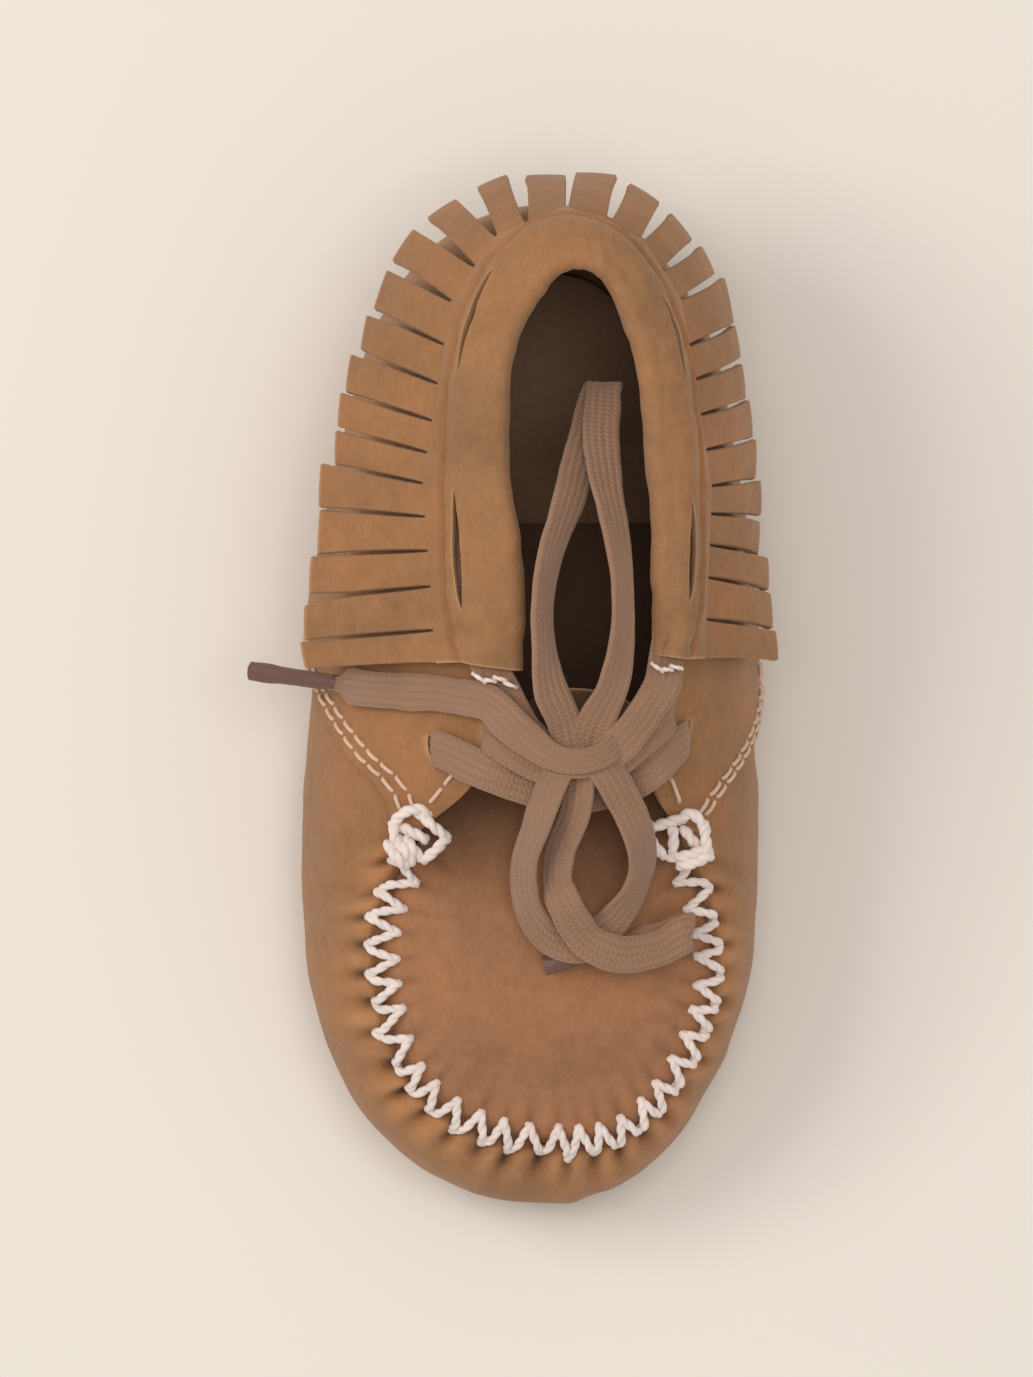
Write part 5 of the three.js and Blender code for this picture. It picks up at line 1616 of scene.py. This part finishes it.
# Each tack is a rough square of heavy thread: its middle, then its stitches as places beside and above that.
TACKS = {
    "tack_outer": ((-13.9, -17.9, 38.4), (
        ((-2.6, 1.95, 0), (-1.5, 3.1, 0.7), (0.3, 3.6, 0.9), (1.7, 3, 0)),
        ((0.3, 3.2, 0.1), (2.1, 1.6, 1), (3.6, 0.3, 0)), ((3.6, 0, 0), (2.4, -1.3, 0.8), (1, -2.4, 0)),
        ((-2.5, 2, 0), (-2.5, 0.3, 0.8), (-1.8, -1.3, 0)),
        ((-3.2, -0.7, 0), (-2.4, -2, 0.9), (-1.3, -3.1, 0)),
        ((-2.1, 0, 0), (-1.3, -1.3, 1.1), (-0.4, -2.6, 0)), ((-1, -0.1, 0), (-0.4, -1, 1), (0.5, -2.1, 0)),
        ((-1.5, 1.4, -0.3), (-0.3, 0.8, 0.2), (1.1, 0, -0.3)),
    )),
    "tack_inner": ((17.5, -17.7, 38.6), (
        ((-3.5, 1.4, 0), (-3.3, -0.3, 0.9), (-2, -2, 0)), ((-3.5, 1.1, 0), (-1.6, 1.7, 1), (0.5, 2.3, 0)),
        ((0, 2.1, 0), (1.6, 2.9, 1), (3.2, 1, 0)), ((3.1, 1.4, 0), (3.2, -0.2, 1), (3.5, -1.8, 0)),
        ((-0.9, -2.3, 0), (1.2, -2.1, 0.9), (3.3, -1.3, 0)),
        ((0.2, -3.3, 0), (1.9, -3, 0.9), (3.7, -2.2, 0)),
        ((-0.8, 1.5, 0), (-0.6, 0.1, 0.7), (-0.7, -1.4, 0)),
        ((0.7, 0.9, -0.3), (1.4, 0, 0.2), (2, -0.8, -0.3)),
    )),
}


class MOCCASIN_OT_toe_seam(bpy.types.Operator):
    """The heavy white thread of the toe seam, and the wrapped tack at each end of it"""
    bl_idname = "moccasin.toe_seam"
    bl_label = "Toe seam"

    def execute(self, context):
        sizes, colours = tools(context)
        radius = sizes.toe_thread / MM
        finish = white_thread(colours)
        seam = Bundle()
        for leg in range(2 * ZIGZAG_COUNT):
            stations = [float(hole_station((leg + k) / 2)) for k in (0, 1)]
            holes = [(plug_hole if (leg + k) % 2 else wrap_hole)(stations[k]) for k in (0, 1)]
            in_wrap, in_plug = stations if leg % 2 == 0 else stations[::-1]
            crossing = in_wrap + (in_plug - in_wrap) * CROSSING_SHARE
            crest = edge_line(np.array([crossing]))[0] + np.array([0, 0, SEAM_ARCH])
            stitch_over(seam, *holes, crest, radius, leg * 0.9)
        seat(seam.mesh("toe_seam_yarn"), SHOE, "white_thread", finish, "toe_seam_thread")
        for name, (middle, stitches) in TACKS.items():
            tack = Bundle()
            for k, stops in enumerate(stitches):
                stops = np.array(stops) + middle
                ends = stops[[0, -1]] - (0, 0, HOLE_DEPTH)
                yarn(tack, np.vstack([ends[:1], stops, ends[1:]]), radius * TACK_YARN, turn=k)
            seat(tack.mesh(f"{name}_yarn"), SHOE, "white_thread", finish, name)
        return {"FINISHED"}


STITCH_SHARE = 0.72
SIDE_ROWS = {"lower": 0.035, "upper": 0.07}
SIDE_RUNS = {"outer": (8.5, 4.9), "inner": (19.5, 22.8)}
THROAT_RUNS = {"outer": (8.3, 7.5), "inner": (19.8, 20.6)}
THROAT_RISE = 0.93
# Each small tack zigzags between two places, in this many stitches.
COLLAR_TACKS = {
    "collar_tack_outer": ((-7, 1.4, 48), (-2, 0.6, 48.8), 4),
    "collar_tack_inner": ((14.2, 2.6, 48.4), (17.6, 2.2, 47.6), 3),
}
COLLAR_TACK_YARN, COLLAR_TACK_STEP, COLLAR_TACK_ARCH = 1.05, 1.15, 0.85
# Along a running stitch: shares of its length, and heights over the leather in radii.
RUNNING_SHARES, RUNNING_HEIGHTS = np.array([0, 0.12, 0.5, 0.88, 1]), np.array([-0.5, 0.5, 0.8, 0.5, -0.5])


def running_row(name, start, end, rise_at, radius, pitch):
    """A row of running stitches, each a short thread that dips into the quarter at both ends."""
    at = np.linspace(start, end, 60)
    rise = rise_at(at)
    face = wall_point(at, rise) + wall_normal(at, rise) * (PLY_GAP + QUARTER_SUEDE)
    run = run_along(face)
    row = Bundle()
    count = max(int(run[-1] / pitch), 1)
    for k in range(count):
        spots = (k + (1 - STITCH_SHARE) / 2 + STITCH_SHARE * RUNNING_SHARES) * run[-1] / count
        line = np.stack([np.interp(spots, run, face[:, i]) for i in range(3)], axis=-1)
        stations = np.interp(spots, run, at)
        normal = wall_normal(stations, rise_at(stations))
        line = line + normal * (RUNNING_HEIGHTS * radius)[:, None]
        tube(row, smooth_path(line, 0.25), radius)
    return row.mesh(name)


class MOCCASIN_OT_topstitching(bpy.types.Operator):
    """The pale rows on the quarters and the white tacks at the collar's two ends"""
    bl_idname = "moccasin.topstitching"
    bl_label = "Topstitching"

    def execute(self, context):
        sizes, colours = tools(context)
        radius, pitch = sizes.seam_thread / MM, sizes.stitch_pitch / MM
        finish = shared("Topstitch thread", spun_thread, colours.topstitch[:], 0.3)
        for side, (start, end) in SIDE_RUNS.items():
            for row, above in SIDE_ROWS.items():
                node = f"side_seam_{side}_{row}"
                piece = running_row(
                    f"{node}_stitches", start, end, lambda at: quarter_bottom(at) + above, radius, pitch)
                seat(piece, SHOE, "seam_thread", finish, node)
        for side, (start, end) in THROAT_RUNS.items():
            node = f"throat_seam_{side}"
            piece = running_row(
                f"{node}_stitches", start, end, lambda at: np.full_like(at, THROAT_RISE), radius, pitch)
            seat(piece, SHOE, "seam_thread", finish, node)
        for name, (start, end, count) in COLLAR_TACKS.items():
            start, end, up = np.array(start, float), np.array(end, float), np.array([0, 0, 1.0])
            tack = Bundle()
            for k in range(count):
                a = mix(start, end, k / count) + (0, 0.45 - 0.5 * (k % 2), 0)
                b = mix(start, end, (k + COLLAR_TACK_STEP) / count) + (0, -0.35 + 0.3 * (k % 3), 0)
                crest = (a + b) / 2 + (0, 0, COLLAR_TACK_ARCH)
                stitch_over(tack, (a, up), (b, up), crest, radius * COLLAR_TACK_YARN, k * 1.3)
            seat(tack.mesh(f"{name}_stitches"), SHOE, "white_thread", white_thread(colours), name)
        return {"FINISHED"}


# Inside the shoe.

PAD_BOTTOM, PAD_THICKNESS, PAD_INSET = 1.8, 2.0, 0.03
SOCK_BOTTOM, SOCK_THICKNESS, SOCK_FRONT = 4.1, 0.8, 20.0
PAD_BEAD, SOCK_BEAD = 0.03, 0.02
SOCK_MIDDLE = (1.0, 34.0)


def slab(name, outline, middle, bottom, thickness, bead):
    """A flat lining piece with a rolled edge. outline gives a ring of places for shares round it."""
    ring = outline(np.linspace(0, 1, 161)[:-1])
    profile = [(0, 0), (0.5, 0), (0.9, 0), (1 - bead, 0), (1, 0.28), (1, 0.72), (1 - bead, 1)]
    profile += [(reach, 1) for reach in (0.9, 0.7, 0.45, 0.2, 0)]
    centre = np.array([middle[0], middle[1], 0])
    points = []
    for reach, rise in profile:
        row = mix(centre, ring, reach)
        row[:, 2] = bottom + thickness * rise
        points.append(row)
    points = np.stack(points, axis=1)
    index = np.arange(points.shape[0] * points.shape[1]).reshape(points.shape[:2])
    after = np.roll(index, -1, axis=0)
    faces = np.stack([index[:, :-1], after[:, :-1], after[:, 1:], index[:, 1:]], axis=-1).reshape(-1, 4)
    return mesh_object(name, points.reshape(-1, 3), faces)


def pad_outline(share):
    return mix(ground_line(share * COUNT), MIDDLE, PAD_INSET) * (1, 1, 0)


def sock_outline(share):
    """The heel end of the pad's outline, closed by a straight front edge."""
    fine = pad_outline(np.linspace(0, 1, 1601))
    heel = np.roll(fine, 800, axis=0)
    heel = heel[heel[:, 1] > SOCK_FRONT]
    ring = np.vstack([heel, heel[:1]])
    run = run_along(ring)
    return np.stack([np.interp(share * run[-1], run, ring[:, k]) for k in range(3)], axis=-1)


class MOCCASIN_OT_footbed(bpy.types.Operator):
    """The soft insole and the leather sock under the heel"""
    bl_idname = "moccasin.footbed"
    bl_label = "Footbed"

    def execute(self, context):
        _, colours = tools(context)
        pad = slab("insole_pad_foam", pad_outline, MIDDLE, PAD_BOTTOM, PAD_THICKNESS, PAD_BEAD)
        fabric = dark_lining("Insole fabric", colours.insole[:], 0.45, 0.08)
        seat(pad, SHOE, "insole_fabric", fabric, "insole_pad")
        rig.padded(pad, fill=0.9)
        sock = slab("heel_sock_leather", sock_outline, SOCK_MIDDLE, SOCK_BOTTOM, SOCK_THICKNESS, SOCK_BEAD)
        seat(sock, SHOE, "sock_leather", dark_lining("Sock leather", colours.sock[:], 0.8, 0.12), "heel_sock")
        return {"FINISHED"}


OPERATORS = (
    MOCCASIN_OT_stage, MOCCASIN_OT_lace, MOCCASIN_OT_wrap, MOCCASIN_OT_plug, MOCCASIN_OT_quarters,
    MOCCASIN_OT_collar, MOCCASIN_OT_fringe, MOCCASIN_OT_toe_seam, MOCCASIN_OT_topstitching,
    MOCCASIN_OT_footbed,
)


class MOCCASIN_PT_panel(bpy.types.Panel):
    """The shoe's sizes, colours and pieces"""
    bl_idname = "MOCCASIN_PT_panel"
    bl_label = "Moccasin"
    bl_space_type = "VIEW_3D"
    bl_region_type = "UI"
    bl_category = "Moccasin"

    def draw(self, context):
        for group in tools(context):
            box = self.layout.box()
            for name in group.bl_rna.properties.keys():
                if name not in ("rna_type", "name"):
                    box.prop(group, name)
        for operator in OPERATORS:
            self.layout.operator(operator.bl_idname)


CLASSES = (MoccasinSizes, MoccasinColours, *OPERATORS, MOCCASIN_PT_panel)


def register():
    for made in CLASSES:
        bpy.utils.register_class(made)
    bpy.types.Scene.moccasin_sizes = bpy.props.PointerProperty(type=MoccasinSizes)
    bpy.types.Scene.moccasin_colours = bpy.props.PointerProperty(type=MoccasinColours)


def unregister():
    del bpy.types.Scene.moccasin_sizes
    del bpy.types.Scene.moccasin_colours
    for made in reversed(CLASSES):
        bpy.utils.unregister_class(made)


def main():
    register()
    for operator in OPERATORS:
        group, name = operator.bl_idname.split(".")
        getattr(getattr(bpy.ops, group), name)()
    bpy.context.view_layer.update()
    boxes = {"cad": CAD_BOX, "visual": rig.bounds()}
    with open("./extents.json", "w") as file:
        json.dump({name: [[float(x) for x in corner] for corner in box] for name, box in boxes.items()}, file)


if __name__ == "__main__":
    main()
